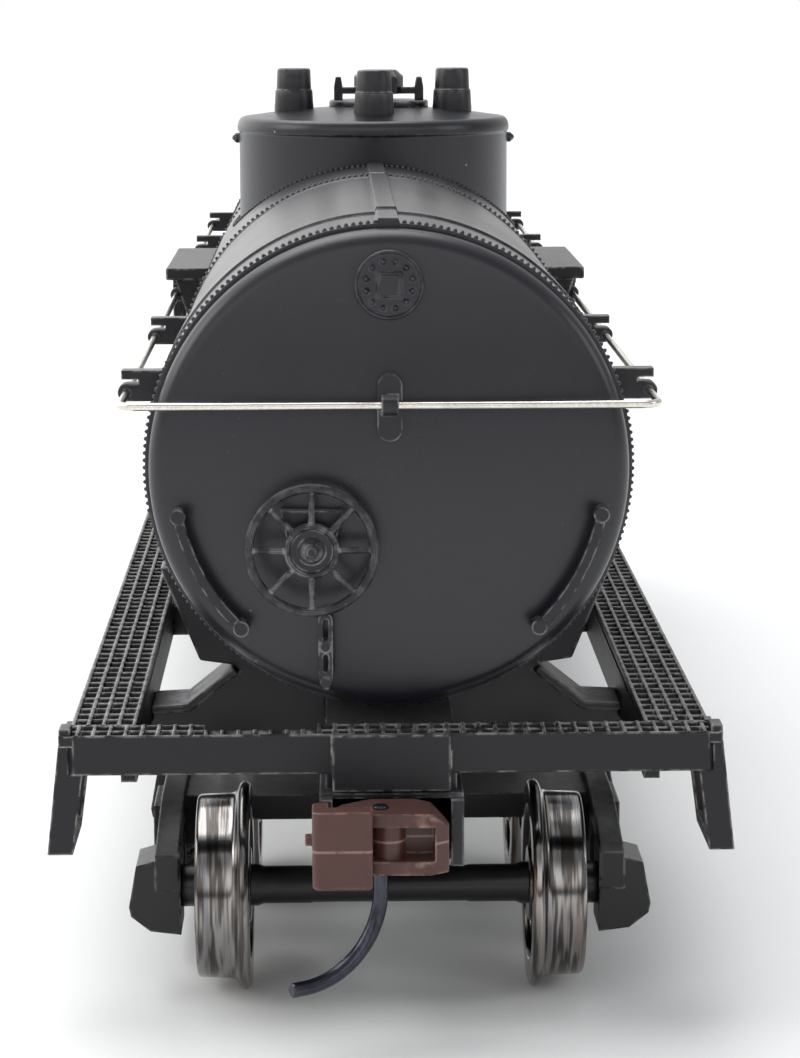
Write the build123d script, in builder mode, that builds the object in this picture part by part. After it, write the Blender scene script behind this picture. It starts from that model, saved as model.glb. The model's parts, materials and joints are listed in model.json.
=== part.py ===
"""HO scale riveted tank wagon: tank and dome on a grated underframe, with two bogies and knuckle couplers.

Millimetres, +Z up, the wagon's length along Y, its brake end at -Y. The origin is midway along and across the
wagon, at the lowest point of the wheel flanges. Each sub-part is written to parts/ as one STEP file.
"""

from build123d import *
from math import cos, radians, sin, sqrt
import os

os.makedirs("parts", exist_ok=True)

# ---------------------------------------------------------------- driving dimensions
half_sill = 62.0            # front face of an end sill from the wagon's middle
board_top = 15.3            # walking surface of the running boards
board_thick = 0.6
board_outer = 16.1
board_inner = 12.85
web_bottom = 12.3           # lower edge of the side sill's web
sill_bottom = 13.25
sill_half = 15.9
corner_half = 16.55         # the end platform's corners stand out past the sill
deck_depth = 2.3            # end platform, front to back

tank_radius = 12.3
course_radius = 12.36       # the middle course laps over its neighbours
tank_wall = 0.8
tank_z = 28.0
tank_half = 57.6            # end of the barrel from the middle
dome_radius = 9.15
dome_shoulder = 42.35
dome_top = 43.95

bogie_y = 45.4
axle_offset = 9.6           # half the bogie's wheelbase
axle_z = 5.44
axle_radius = 1.1
frame_inner = 11.0          # inner face of a bogie sideframe
king_radius = 0.95

coupler_z = 10.6            # 9.96 above the rail head
pivot_y = 57.4              # coupler's pivot from the middle
box_top = 12.25             # coupler pocket, top and bottom
box_bottom = 8.8
screw_radius = 0.5          # coupler screw

rail_z = 31.6               # handrail wire
rail_x = 13.3
rail_y = 60.9
wire_radius = 0.2

running = 0.08              # clearance round a turning pin
turned = Rotation(0, 0, 180)


def write(piece, label):
    """Names a finished piece and writes its STEP file."""
    piece.label = label
    export_step(piece, f"parts/{label}.step")


def write_both_ends(piece, name):
    """Writes a piece made at the brake end, and its twin turned round for the other end."""
    write(piece, name + "_front")
    write(turned * piece, name + "_rear")


def write_both_sides(piece, name):
    """Writes a piece made on the +X side, and its mirror image."""
    write(piece, name + "_right")
    write(mirror(piece, about=Plane.YZ), name + "_left")


def write_group(pieces, label):
    """Writes several separate solids as one node."""
    write(Compound(children=[solid for piece in pieces for solid in piece.solids()]), label)


def largest(part):
    """The biggest solid that a cut has left."""
    return part.solids().sort_by(SortBy.VOLUME)[-1]


def at_tank(radius, angle):
    """X and Z of a point round the tank's axis; the angle is in degrees above the horizontal."""
    return (radius * cos(radians(angle)), tank_z + radius * sin(radians(angle)))


# ---------------------------------------------------------------- tank barrel
course_half = 20.2
band_from, band_to, band_height = 48.3, 51.2, 0.13
strap_width, strap_height = 1.1, 0.14
strap_gap = 0.05            # between the crown strap and the dome
rib_offset, rib_width, rib_height = 0.42, 0.16, 0.26
manhole_radius, manhole_base = 7.0, tank_z + 2

with BuildPart() as tank_shell:
    rings = [(-tank_half, tank_half, tank_radius), (-course_half, course_half, course_radius)]
    rings += [(-band_to, -band_from, tank_radius + band_height)]
    rings += [(band_from, band_to, tank_radius + band_height)]
    for start, stop, radius in rings:
        with BuildSketch(Plane.XZ.offset(-stop)):
            with Locations((0, tank_z)):
                Circle(radius)
        extrude(amount=stop - start)
    strap_middle = (tank_half + dome_radius + strap_gap) / 2
    strap_length = tank_half - dome_radius - strap_gap
    for y in (-strap_middle, strap_middle):
        with Locations((0, y, tank_z + tank_radius)):
            Box(strap_width, strap_length, 2 * strap_height)
        with Locations((-rib_offset, y, tank_z + tank_radius), (rib_offset, y, tank_z + tank_radius)):
            Box(rib_width, strap_length, 2 * rib_height)
    with BuildSketch(Plane.XZ.offset(-tank_half)):
        with Locations((0, tank_z)):
            Circle(tank_radius - tank_wall)
    extrude(amount=2 * tank_half, mode=Mode.SUBTRACT)
    with BuildSketch(Plane.XY.offset(manhole_base)):
        Circle(manhole_radius)
    extrude(amount=tank_radius, mode=Mode.SUBTRACT)
write(tank_shell.part, "tank_shell")

with BuildPart() as barrel_tool:
    with BuildSketch(Plane.XZ.offset(-tank_half)):
        with Locations((0, tank_z)):
            Circle(course_radius)
    extrude(amount=2 * tank_half)

# ---------------------------------------------------------------- tank heads
head_rim = tank_radius - 0.22
rim_length = 0.55           # straight rim in front of the barrel's end
shoulder_radius = 1.0
shoulder_lean = radians(11.2)
plug_depth = 2.5            # how far the head reaches into the barrel
head_y = tank_half + rim_length + shoulder_radius * cos(shoulder_lean)
dish_edge = head_rim - shoulder_radius * (1 - sin(shoulder_lean))
dish_radius = dish_edge / sin(shoulder_lean)


def dish_y(distance):
    """How far forward the dished face stands at a distance from the tank's axis."""
    return head_y + sqrt(dish_radius**2 - distance**2) - dish_radius * cos(shoulder_lean)


with BuildPart() as tank_head:
    with BuildSketch(Plane.YZ):
        with BuildLine():
            rim = Polyline(
                (-dish_y(0), tank_z),
                (-tank_half + plug_depth, tank_z),
                (-tank_half + plug_depth, tank_z + tank_radius - tank_wall),
                (-tank_half, tank_z + tank_radius - tank_wall),
                (-tank_half, tank_z + head_rim),
                (-tank_half - rim_length, tank_z + head_rim),
            )
            shoulder = TangentArc(rim @ 1, (-head_y, tank_z + dish_edge), tangent=(-1, 0))
            half = dish_edge / 2
            ThreePointArc(shoulder @ 1, (-dish_y(half), tank_z + half), rim @ 0)
        make_face()
    revolve(axis=Axis((0, 0, tank_z), (0, 1, 0)))
write_both_ends(tank_head.part, "tank_head")

# ---------------------------------------------------------------- plates, stanchions and grab irons on the heads
plate_above = 9.45
plate_radius = 1.72
bolt_circle, bolt_radius, bolt_count = 1.18, 0.16, 12
bolt_height = 0.16
pad_side, plug_side, plug_height = 1.2, 0.95, 0.5
plate_thick, plate_edge = 0.9, 0.12
plate_front = dish_y(plate_above) + plate_thick / 2

with BuildPart() as plate:
    with BuildSketch(Plane.XZ.offset(plate_front - plate_thick)):
        with Locations((0, tank_z + plate_above)):
            Circle(plate_radius)
    extrude(amount=plate_thick)
    chamfer(plate.faces().sort_by(Axis.Y)[0].edges(), plate_edge)
    with BuildSketch(Plane.XZ.offset(plate_front)):
        with Locations((0, tank_z + plate_above)):
            with PolarLocations(bolt_circle, bolt_count):
                Circle(bolt_radius)
            RectangleRounded(pad_side, pad_side, 0.2)
    extrude(amount=bolt_height)
    with BuildSketch(Plane.XZ.offset(plate_front)):
        with Locations((0, tank_z + plate_above)):
            RectangleRounded(plug_side, plug_side, 0.12)
    extrude(amount=plug_height)
    add(tank_head.part, mode=Mode.SUBTRACT)
plate_solid = largest(plate.part)
write_group([plate_solid, turned * plate_solid], "inspection_plates")

boss_height, boss_width, boss_drop = 3.4, 1.25, 0.15
boss_sunk, boss_proud = 0.6, 0.35
lug_radius, lug_half = 0.5, 0.42
with BuildPart() as stanchion:
    with BuildSketch(Plane.XZ.offset(dish_y(0) - boss_sunk)):
        with Locations((0, rail_z - boss_drop)):
            SlotOverall(boss_height, boss_width, rotation=90)
    extrude(amount=boss_sunk + boss_proud)
    with BuildSketch(Plane.YZ.offset(-lug_half)):
        with Locations((-rail_y, rail_z)):
            Circle(lug_radius)
        with Locations((-rail_y + lug_radius, rail_z)):
            Rectangle(2 * lug_radius, 2 * lug_radius)
    extrude(amount=2 * lug_half)
    with BuildSketch(Plane.YZ.offset(-lug_half)):
        with Locations((-rail_y, rail_z)):
            Circle(wire_radius)
    extrude(amount=2 * lug_half, mode=Mode.SUBTRACT)
    add(tank_head.part, mode=Mode.SUBTRACT)
stanchion_solid = largest(stanchion.part)
write_group([stanchion_solid, turned * stanchion_solid], "end_stanchions")

grab_radius, grab_half, grab_thick = 10.75, 0.25, 0.45
grab_from, grab_to = -11.0, -46.0
grab_standoff = 0.45
foot_radius, foot_sunk, foot_proud = 0.4, 0.4, 0.1

with BuildPart() as grab_iron:
    inner, outer = grab_radius - grab_half, grab_radius + grab_half
    middle = (grab_from + grab_to) / 2
    with BuildSketch(Plane.XZ.offset(dish_y(grab_radius) + grab_standoff)):
        with BuildLine():
            for radius in (inner, outer):
                ThreePointArc(at_tank(radius, grab_from), at_tank(radius, middle), at_tank(radius, grab_to))
            for angle in (grab_from, grab_to):
                Line(at_tank(inner, angle), at_tank(outer, angle))
        make_face()
    extrude(amount=grab_thick)
    with BuildSketch(Plane.XZ.offset(dish_y(grab_radius) - foot_sunk)):
        with Locations(at_tank(grab_radius, grab_from), at_tank(grab_radius, grab_to)):
            Circle(foot_radius)
    extrude(amount=foot_sunk + grab_standoff + grab_thick + foot_proud)
    add(tank_head.part, mode=Mode.SUBTRACT)
grab_pair = [largest(grab_iron.part), mirror(largest(grab_iron.part), about=Plane.YZ)]
write_group(grab_pair + [turned * grab for grab in grab_pair], "grab_irons")

# ---------------------------------------------------------------- dome and its fittings
dome_wall = 0.9
lip_radius, lip_height, lip_slope = 9.28, 0.25, 0.12
dome_foot = tank_z + 6
cap_edge = 8.6
cap_edge_z = 43.28
cap_rise = dome_top - cap_edge_z
cap_radius = (cap_edge**2 + cap_rise**2) / (2 * cap_rise)
nub_z, nub_side, nub_width, nub_length = 41.8, 0.5, 1.2, 0.3

with BuildPart() as dome:
    with BuildSketch(Plane.XZ):
        with BuildLine():
            wall = Polyline(
                (dome_radius - dome_wall, dome_foot),
                (dome_radius, dome_foot),
                (dome_radius, dome_shoulder - lip_slope),
                (lip_radius, dome_shoulder),
                (lip_radius, dome_shoulder + lip_height),
            )
            edge = TangentArc(wall @ 1, (cap_edge, cap_edge_z), tangent=(0, 1))
            cap_middle = (cap_edge / 2, dome_top - cap_radius + sqrt(cap_radius**2 - (cap_edge / 2) ** 2))
            cap = ThreePointArc(edge @ 1, cap_middle, (0, dome_top))
            Polyline(
                cap @ 1,
                (0, dome_top - dome_wall),
                (dome_radius - dome_wall, dome_shoulder - 0.2),
                wall @ 0,
            )
        make_face()
    revolve(axis=Axis.Z)
    for side in (-1, 1):
        with Locations((side * dome_radius, 0, nub_z)):
            Box(nub_side, nub_width, nub_side)
        with Locations((side * (dome_radius + (nub_side + nub_length) / 2), 0, nub_z)):
            Cone(0.24, 0.05, nub_length, rotation=(0, side * 90, 0))
    add(barrel_tool.part, mode=Mode.SUBTRACT)
write(largest(dome.part), "dome")

valve_x, valve_y = 5.4, 5.4
valve_radius, collar_radius = 1.18, 1.3
valve_top, collar_top = 46.5, 45.05
valve_sunk, valve_taper, valve_round = 1.2, 2, 0.2

valves = []
for x, y in ((-valve_x, 0), (valve_x, 0), (0, -valve_y)):
    with BuildPart() as valve:
        with BuildSketch(Plane.XY.offset(dome_top - valve_sunk)):
            with Locations((x, y)):
                Circle(collar_radius)
        extrude(amount=collar_top - dome_top + valve_sunk)
        with BuildSketch(Plane.XY.offset(collar_top)):
            with Locations((x, y)):
                Circle(valve_radius)
        extrude(amount=valve_top - collar_top, taper=valve_taper)
        fillet(valve.faces().sort_by(Axis.Z)[-1].edges(), valve_round)
        add(dome.part, mode=Mode.SUBTRACT)
    valves.append(valve.part.solids().sort_by(Axis.Z)[-1])
write_group(valves, "dome_valves")

manway_x, manway_y = 0.4, 1.2
cover_radius, cover_rise, cover_sunk, cover_round = 3.4, 0.35, 0.6, 0.15
seat_radius, seat_height = 0.7, 0.2     # where the clamp screw presses
with BuildPart() as manway_cover:
    with BuildSketch(Plane.XY.offset(dome_top - cover_sunk)):
        with Locations((manway_x, manway_y)):
            Circle(cover_radius)
    extrude(amount=cover_sunk + cover_rise)
    fillet(manway_cover.faces().sort_by(Axis.Z)[-1].edges(), cover_round)
    with BuildSketch(Plane.XY.offset(dome_top + cover_rise)):
        with Locations((manway_x, manway_y)):
            Circle(seat_radius)
    extrude(amount=seat_height)
    add(dome.part, mode=Mode.SUBTRACT)
write(manway_cover.part.solids().sort_by(Axis.Z)[-1], "manway_cover")

yoke_half = 2.77            # half the span between its two uprights
bar_z = 44.72
bar_height = 0.45
hub_radius, hub_top, hub_sides, hub_slope = 1.7, 46.35, 8, 0.45
yoke_half_depth = 0.4
horn, foot_depth, clamp_radius = 1.15, 0.4, 0.5
upright = 0.3               # half width of an upright
with BuildPart() as manway_yoke:
    with BuildSketch(Plane.XZ.offset(yoke_half_depth - manway_y)):
        for side in (-1, 1):
            middle = manway_x + side * yoke_half
            with BuildLine():
                Polyline(
                    (middle - upright, dome_top - foot_depth),
                    (middle - upright, bar_z + bar_height),
                    (middle - 0.6 * upright, bar_z + horn),
                    (middle + 0.6 * upright, bar_z + horn),
                    (middle + upright, bar_z + bar_height),
                    (middle + upright, dome_top - foot_depth),
                    close=True,
                )
            make_face()
        with Locations((manway_x, bar_z + bar_height / 2)):
            Rectangle(2 * yoke_half, bar_height)
    extrude(amount=-2 * yoke_half_depth)
    with BuildSketch(Plane.XY.offset(bar_z)):
        with Locations((manway_x, manway_y)):
            RegularPolygon(hub_radius, hub_sides)
    extrude(amount=hub_top - bar_z)
    chamfer(manway_yoke.faces().sort_by(Axis.Z)[-1].edges(), hub_slope)
    with BuildSketch(Plane.XY.offset(dome_top + cover_rise + seat_height)):
        with Locations((manway_x, manway_y)):
            Circle(clamp_radius)
    extrude(amount=bar_z - dome_top - cover_rise)
    add(dome.part, mode=Mode.SUBTRACT)
    add(manway_cover.part, mode=Mode.SUBTRACT)
write(largest(manway_yoke.part), "manway_yoke")

# ---------------------------------------------------------------- steel weight in the bottom of the barrel
weight_half, weight_top = 40.0, tank_z - 7.0
with BuildPart() as ballast_weight:
    with BuildSketch(Plane.XZ.offset(-weight_half)):
        with Locations((0, tank_z)):
            Circle(tank_radius - tank_wall)
        with Locations((0, weight_top + tank_radius)):
            Rectangle(2 * tank_radius, 2 * tank_radius, mode=Mode.SUBTRACT)
    extrude(amount=2 * weight_half)
write(ballast_weight.part, "ballast_weight")

# ---------------------------------------------------------------- end sills with their platforms
striker_half, striker_bottom, striker_proud = 2.95, 12.4, 0.35
notch_from, notch_to = -9.4, -3.7       # gap in the platform that the brake chain drops through
notch_keep = 1.1            # depth of platform left in front of the notch
web_thick = 0.8

with BuildPart() as end_sill:
    with Locations((0, -half_sill + deck_depth / 2, board_top - board_thick / 2)):
        Box(2 * corner_half, deck_depth, board_thick)
    with Locations((0, -half_sill + web_thick / 2, (sill_bottom + board_top) / 2)):
        Box(2 * sill_half, web_thick, board_top - sill_bottom)
    with Locations((0, -half_sill - striker_proud / 2, (striker_bottom + board_top) / 2)):
        Box(2 * striker_half, striker_proud, board_top - striker_bottom)
    with Locations((0, -half_sill + web_thick / 2, (striker_bottom + sill_bottom) / 2)):
        Box(2 * striker_half, web_thick, sill_bottom - striker_bottom)
    with Locations(((notch_from + notch_to) / 2, -half_sill + deck_depth, board_top)):
        Box(notch_to - notch_from, 2 * (deck_depth - notch_keep), 2 * board_thick, mode=Mode.SUBTRACT)
write_both_ends(end_sill.part, "end_sill")

# ---------------------------------------------------------------- running boards on their side sills
board_half = half_sill - deck_depth
lip_wide, lip_drop = 0.6, 0.7
with BuildPart() as running_board:
    with Locations(((board_inner + board_outer) / 2, 0, board_top - board_thick / 2)):
        Box(board_outer - board_inner, 2 * board_half, board_thick)
    with Locations((board_inner + web_thick / 2, 0, (web_bottom + board_top - board_thick) / 2)):
        Box(web_thick, 2 * board_half, board_top - board_thick - web_bottom)
    with Locations((board_outer - lip_wide / 2, 0, board_top - board_thick - lip_drop / 2)):
        Box(lip_wide, 2 * board_half, lip_drop)
write_both_sides(running_board.part, "running_board")

# ---------------------------------------------------------------- centre sill with its cross bearers
spine_half = 3.3
spine_top = board_top - board_thick
bearer_top, bearer_thick = 14.1, 0.9
bearer_places = (-24, -6, 6, 24)
channel_wall, channel_length, channel_depth = 0.6, 72, 1.7
anchor_length, anchor_height = 10, 2
outlet_hole = 0.85
with BuildPart() as centre_sill:
    with Locations((0, 0, (box_top + spine_top) / 2)):
        Box(2 * spine_half, 2 * (half_sill - web_thick), spine_top - box_top)
    with Locations((0, 0, box_top)):
        Box(2 * (spine_half - channel_wall), channel_length, 2 * channel_depth, mode=Mode.SUBTRACT)
    for y in bearer_places:
        for side in (-1, 1):
            with Locations((side * (spine_half + board_inner) / 2, y, (web_bottom + bearer_top) / 2)):
                Box(board_inner - spine_half, bearer_thick, bearer_top - web_bottom)
    # anchor that ties the tank's middle to the sill
    with Locations((0, 0, spine_top + anchor_height / 2)):
        Box(2 * spine_half, anchor_length, anchor_height)
    add(barrel_tool.part, mode=Mode.SUBTRACT)
    for y in (-pivot_y, pivot_y):
        with Locations((0, y, box_top)):
            Cylinder(screw_radius, 3, mode=Mode.SUBTRACT)
    Cylinder(outlet_hole, 2 * tank_z, mode=Mode.SUBTRACT)
write(centre_sill.part, "centre_sill")

# ---------------------------------------------------------------- body bolsters with tank saddles
bolster_low = 10.8
bolster_half, rib_half = 1.9, 1.1
pad_bottom, pad_radius = 8.65, 3.1
bolster_end = board_inner + 0.7
saddle_angle = -36          # where the saddle's tip meets the tank
spine_slot = 8
king_depth = 7
flange_thick = 0.45

with BuildPart() as bolster:
    with BuildSketch(Plane.XZ.offset(bogie_y)):
        with BuildLine():
            right = Polyline(
                (0, bolster_low),
                (bolster_end, bolster_low),
                (bolster_end, web_bottom),
                (board_inner, web_bottom),
                (board_inner, 13.25),
                (10.9, 13.35),
                (8.4, 15.35),
                (10.2, 15.6),
                (12.3, 20.8),
                at_tank(tank_radius, saddle_angle),
            )
            mirror(right, about=Plane.YZ)
            cradle_x, cradle_z = at_tank(tank_radius, saddle_angle)
            ThreePointArc((cradle_x, cradle_z), (0, tank_z - tank_radius), (-cradle_x, cradle_z))
        make_face()
    extrude(amount=rib_half, both=True)
    for side in (-1, 1):
        with BuildSketch(Plane.XZ.offset(bogie_y)):
            with BuildLine():
                Polyline(
                    (side * board_inner, 13.25),
                    (side * 10.9, 13.35),
                    (side * 8.4, 15.35),
                    (side * 8.1, 15.0),
                    (side * 10.7, 12.9),
                    (side * board_inner, 12.8),
                    close=True,
                )
            make_face()
        extrude(amount=bolster_half, both=True)
    with Locations((0, -bogie_y, bolster_low + flange_thick / 2)):
        Box(2 * bolster_end, 2 * bolster_half, flange_thick)
    with BuildSketch(Plane.XY.offset(pad_bottom)):
        with Locations((0, -bogie_y)):
            Circle(pad_radius)
    extrude(amount=bolster_low - pad_bottom)
    with Locations((0, -bogie_y, (box_top + spine_top) / 2)):
        Box(2 * spine_half, spine_slot, spine_top - box_top, mode=Mode.SUBTRACT)
    with Locations((0, -bogie_y, pad_bottom)):
        Cylinder(king_radius, king_depth, mode=Mode.SUBTRACT)
write_both_ends(bolster.part, "bolster")

# ---------------------------------------------------------------- dome platforms, ladders and handrails
platform_outer, platform_half = 13.9, 8.0
platform_top, platform_bottom = 33.6, 32.8
platform_inner = 8.9
knee_y, knee_half, knee_foot = 7.0, 0.35, 29.5

with BuildPart() as platform:
    with Locations(((platform_outer + platform_inner) / 2, 0, (platform_top + platform_bottom) / 2)):
        Box(platform_outer - platform_inner, 2 * platform_half, platform_top - platform_bottom)
    for y in (-knee_y, knee_y):
        with BuildSketch(Plane.XZ.offset(-y)):
            with BuildLine():
                Polyline(
                    (10.5, platform_bottom),
                    (13.3, platform_bottom),
                    (12.25, knee_foot),
                    (10.5, knee_foot),
                    close=True,
                )
            make_face()
        extrude(amount=knee_half, both=True)
    add(barrel_tool.part, mode=Mode.SUBTRACT)
write_both_sides(largest(platform.part), "platform")

ladder_half, stile_half = 2.7, 0.25
ladder_x, ladder_foot, ladder_bend = 13.35, 14.3, 27.0
stile_back, stile_front = 0.25, 0.35
rung_count, rung_pitch, rung_radius, first_rung = 9, 1.75, 0.19, 1.2
with BuildPart() as ladder:
    for y in (-ladder_half, ladder_half):
        with BuildSketch(Plane.XZ.offset(-y)):
            with BuildLine():
                Polyline(
                    (ladder_x - stile_back, platform_bottom),
                    (ladder_x + stile_front, platform_bottom),
                    (ladder_x + stile_front, ladder_bend),
                    (ladder_foot + stile_front, board_top),
                    (ladder_foot - stile_back, board_top),
                    (ladder_x - stile_back, ladder_bend),
                    close=True,
                )
            make_face()
        extrude(amount=stile_half, both=True)
    for n in range(rung_count):
        z = board_top + first_rung + n * rung_pitch
        lean = max(0, (ladder_bend - z) / (ladder_bend - board_top))
        with BuildSketch(Plane.XZ):
            with Locations((ladder_x + 0.05 + (ladder_foot - ladder_x) * lean, z)):
                Circle(rung_radius)
        extrude(amount=ladder_half, both=True)
write_both_sides(ladder.part, "ladder")

rail_end, rail_bend = 4.2, 0.9
with BuildPart() as handrail:
    with BuildLine():
        FilletPolyline(
            (-rail_x, -rail_end, rail_z),
            (-rail_x, -rail_y, rail_z),
            (rail_x, -rail_y, rail_z),
            (rail_x, -rail_end, rail_z),
            radius=rail_bend,
        )
    with BuildSketch(Plane(origin=(-rail_x, -rail_end, rail_z), z_dir=(0, -1, 0))):
        Circle(wire_radius)
    sweep()
write_both_ends(handrail.part, "handrail")

fin_z, fin_height, fin_tip, fin_length = 32.5, 0.45, 13.55, 2.6
neck_width, neck_x = 1.2, fin_tip - 1.45
arm_length, arm_height, eye = 2.0, 0.9, 0.45
bracket_half = 0.5
brackets = []
for y in (-55.0, -30.0, -5.0, 5.0, 30.0, 55.0):
    with BuildPart() as bracket:
        with BuildSketch(Plane.XZ.offset(-y)):
            with Locations((fin_tip - fin_length / 2, fin_z)):
                Rectangle(fin_length, fin_height)
            with Locations((neck_x, fin_z - neck_width / 2)):
                Rectangle(neck_width, neck_width)
            with Locations((rail_x - arm_length / 2, rail_z)):
                Rectangle(arm_length, arm_height)
            with Locations((rail_x, rail_z)):
                Circle(eye)
                Circle(wire_radius, mode=Mode.SUBTRACT)
        extrude(amount=bracket_half, both=True)
        add(barrel_tool.part, mode=Mode.SUBTRACT)
    brackets += [largest(bracket.part), mirror(largest(bracket.part), about=Plane.YZ)]
write_group(brackets, "handrail_brackets")

# ---------------------------------------------------------------- corner steps
step_bottom, step_leg = 9.1, 0.8
step_front, step_back = half_sill - 0.25, 56.4
tread = 0.7
with BuildPart() as corner_step:
    for y in (-step_front, -step_back - step_leg):
        with BuildSketch(Plane.XZ.offset(-y)):
            with BuildLine():
                Polyline(
                    (board_outer, board_top - board_thick),
                    (16.6, board_top - board_thick),
                    (17.25, step_bottom),
                    (15.98, step_bottom),
                    (15.42, sill_bottom),
                    (board_outer, sill_bottom),
                    close=True,
                )
            make_face()
        extrude(amount=-step_leg)
    with BuildSketch(Plane.XZ.offset(step_front)):
        with BuildLine():
            Polyline(
                (17.17, step_bottom + tread),
                (17.25, step_bottom),
                (15.98, step_bottom),
                (15.91, step_bottom + tread),
                close=True,
            )
        make_face()
    extrude(amount=-(step_front - step_back))
    add(end_sill.part, mode=Mode.SUBTRACT)
    add(running_board.part, mode=Mode.SUBTRACT)
step_pair = [largest(corner_step.part), mirror(largest(corner_step.part), about=Plane.YZ)]
write_group(step_pair + [turned * step for step in step_pair], "corner_steps")

# ---------------------------------------------------------------- hand brake on the front head
brake_x, brake_z, brake_y = -3.9, 24.5, 61.55
brake_radius, rim_radius = 3.35, 0.24
hub, hub_thick = 1.38, 0.5
head_there = dish_y(5.3)     # the head's face behind the brake wheel
peg_radius, peg_back, peg_front = 0.35, head_there + 0.12, brake_y + 0.7
bracket_sunk, bracket_thick = 1.2, 2.0
spoke_count, spoke_width = 8, 0.32

with BuildPart() as brake_bracket:
    with BuildSketch(Plane.XZ.offset(head_there - bracket_sunk)):
        with BuildLine():
            Polyline(
                (brake_x - 1.55, brake_z + 1.85),
                (brake_x + 1.55, brake_z + 1.85),
                (brake_x + 0.9, brake_z - 1.2),
                (brake_x - 0.9, brake_z - 1.2),
                close=True,
            )
        make_face()
        with Locations((brake_x, brake_z)):
            Circle(peg_radius + running, mode=Mode.SUBTRACT)
    extrude(amount=bracket_thick)
    add(tank_head.part, mode=Mode.SUBTRACT)
write(brake_bracket.part.solids().sort_by(Axis.Y)[0], "brake_bracket")

with BuildPart() as brake_wheel:
    with BuildSketch(Plane.YZ.offset(brake_x)):
        with Locations((-brake_y, brake_z + brake_radius - rim_radius)):
            Circle(rim_radius)
    revolve(axis=Axis((brake_x, 0, brake_z), (0, 1, 0)))
    with BuildSketch(Plane.XZ.offset(brake_y - hub_thick / 2)):
        with Locations((brake_x, brake_z)):
            Circle(hub)
    extrude(amount=hub_thick)
    with BuildSketch(Plane.XZ.offset(brake_y - spoke_width / 2)):
        with Locations((brake_x, brake_z)):
            with PolarLocations((hub + brake_radius) / 2 - rim_radius, spoke_count):
                Rectangle(brake_radius - hub, spoke_width)
    extrude(amount=spoke_width)
    with BuildSketch(Plane.XZ.offset(peg_back)):
        with Locations((brake_x, brake_z)):
            Circle(peg_radius)
    extrude(amount=peg_front - peg_back)
    fillet(brake_wheel.faces().sort_by(Axis.Y)[0].edges(), 0.12)
write(brake_wheel.part, "brake_wheel")

chain_x, chain_z, chain_length, chain_width, chain_thick = -3.25, 19.15, 3.9, 0.72, 0.4
head_at_chain = dish_y(9.5)
chain_standoff, pin_sunk, link_pin = 0.6, 0.5, 0.3
with BuildPart() as brake_chain:
    with BuildSketch(Plane.XZ.offset(head_at_chain + chain_standoff)):
        with Locations((chain_x, chain_z)):
            SlotOverall(chain_length, chain_width, rotation=90)
        with Locations((chain_x, chain_z + 1.1)):
            SlotOverall(1.1, 0.28, rotation=90, mode=Mode.SUBTRACT)
        with Locations((chain_x, chain_z - 0.6)):
            SlotOverall(0.9, 0.26, rotation=90, mode=Mode.SUBTRACT)
    extrude(amount=chain_thick)
    with BuildSketch(Plane.XZ.offset(head_at_chain - pin_sunk)):
        with Locations((chain_x, chain_z + 0.25), (chain_x, chain_z - 1.6)):
            Circle(link_pin)
    extrude(amount=pin_sunk + chain_standoff + chain_thick + 0.1)
    add(tank_head.part, mode=Mode.SUBTRACT)
write(brake_chain.part.solids().sort_by(Axis.Y)[0], "brake_chain")

# ---------------------------------------------------------------- brake gear and outlet under the tank
gear_x = 7.2
cylinder_z = 12.4
cylinder_stages = ((9.4, 1.7, 4.6), (13.4, 2.0, 0.6), (8.2, 0.35, 1.2))      # start, radius, length
cylinder_arm_y, cylinder_arm_width, cylinder_arm_height = 11.4, 1.6, 0.9
with BuildPart() as brake_cylinder:
    for y, radius, length in cylinder_stages:
        with BuildSketch(Plane.XZ.offset(-y - length)):
            with Locations((gear_x, cylinder_z)):
                Circle(radius)
        extrude(amount=length)
    with Locations(((spine_half + gear_x) / 2, cylinder_arm_y, cylinder_z + 0.4)):
        Box(gear_x - spine_half, cylinder_arm_width, cylinder_arm_height)
write(brake_cylinder.part, "brake_cylinder")

reservoir_z, reservoir_radius, reservoir_from, reservoir_length, reservoir_round = 12.0, 1.9, 10, 8, 0.6
strap_z, strap_thick, strap_deep = 12.8, 0.6, 0.7
with BuildPart() as air_reservoir:
    with BuildSketch(Plane.XZ.offset(reservoir_from)):
        with Locations((gear_x, reservoir_z)):
            Circle(reservoir_radius)
    extrude(amount=reservoir_length)
    fillet(air_reservoir.edges(), reservoir_round)
    for y in (-16, -12):
        with Locations(((spine_half + gear_x) / 2, y, strap_z)):
            Box(gear_x - spine_half, strap_thick, strap_deep)
write(air_reservoir.part, "air_reservoir")

lever_y, lever_thick, lever_spare = 7.8, 0.8, 1.4
rod_x, rod_z, rod_radius = 4.7, 12.0, 0.25
rod_end = bogie_y - rib_half
with BuildPart() as brake_rigging:
    with Locations(((gear_x + rod_x) / 2, lever_y, (rod_z + cylinder_z) / 2)):
        Box(gear_x - rod_x + lever_spare, lever_thick, lever_thick)
    for start, stop in ((lever_y + lever_thick / 2, rod_end), (-rod_end, lever_y - lever_thick / 2)):
        with BuildSketch(Plane.XZ.offset(-stop)):
            with Locations((rod_x, rod_z)):
                Circle(rod_radius)
        extrude(amount=stop - start)
write(brake_rigging.part, "brake_rigging")

outlet_stages = ((8.6, 1.1, 0.9), (9.5, outlet_hole, 6.8))     # bottom, radius, height
nut_z, nut_radius, nut_height = 10.2, 1.5, 1.3
with BuildPart() as bottom_outlet:
    for z, radius, length in outlet_stages:
        with BuildSketch(Plane.XY.offset(z)):
            Circle(radius)
        extrude(amount=length)
    with BuildSketch(Plane.XY.offset(nut_z)):
        RegularPolygon(nut_radius, 6)
    extrude(amount=nut_height)
    add(barrel_tool.part, mode=Mode.SUBTRACT)
write(bottom_outlet.part, "bottom_outlet")

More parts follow.
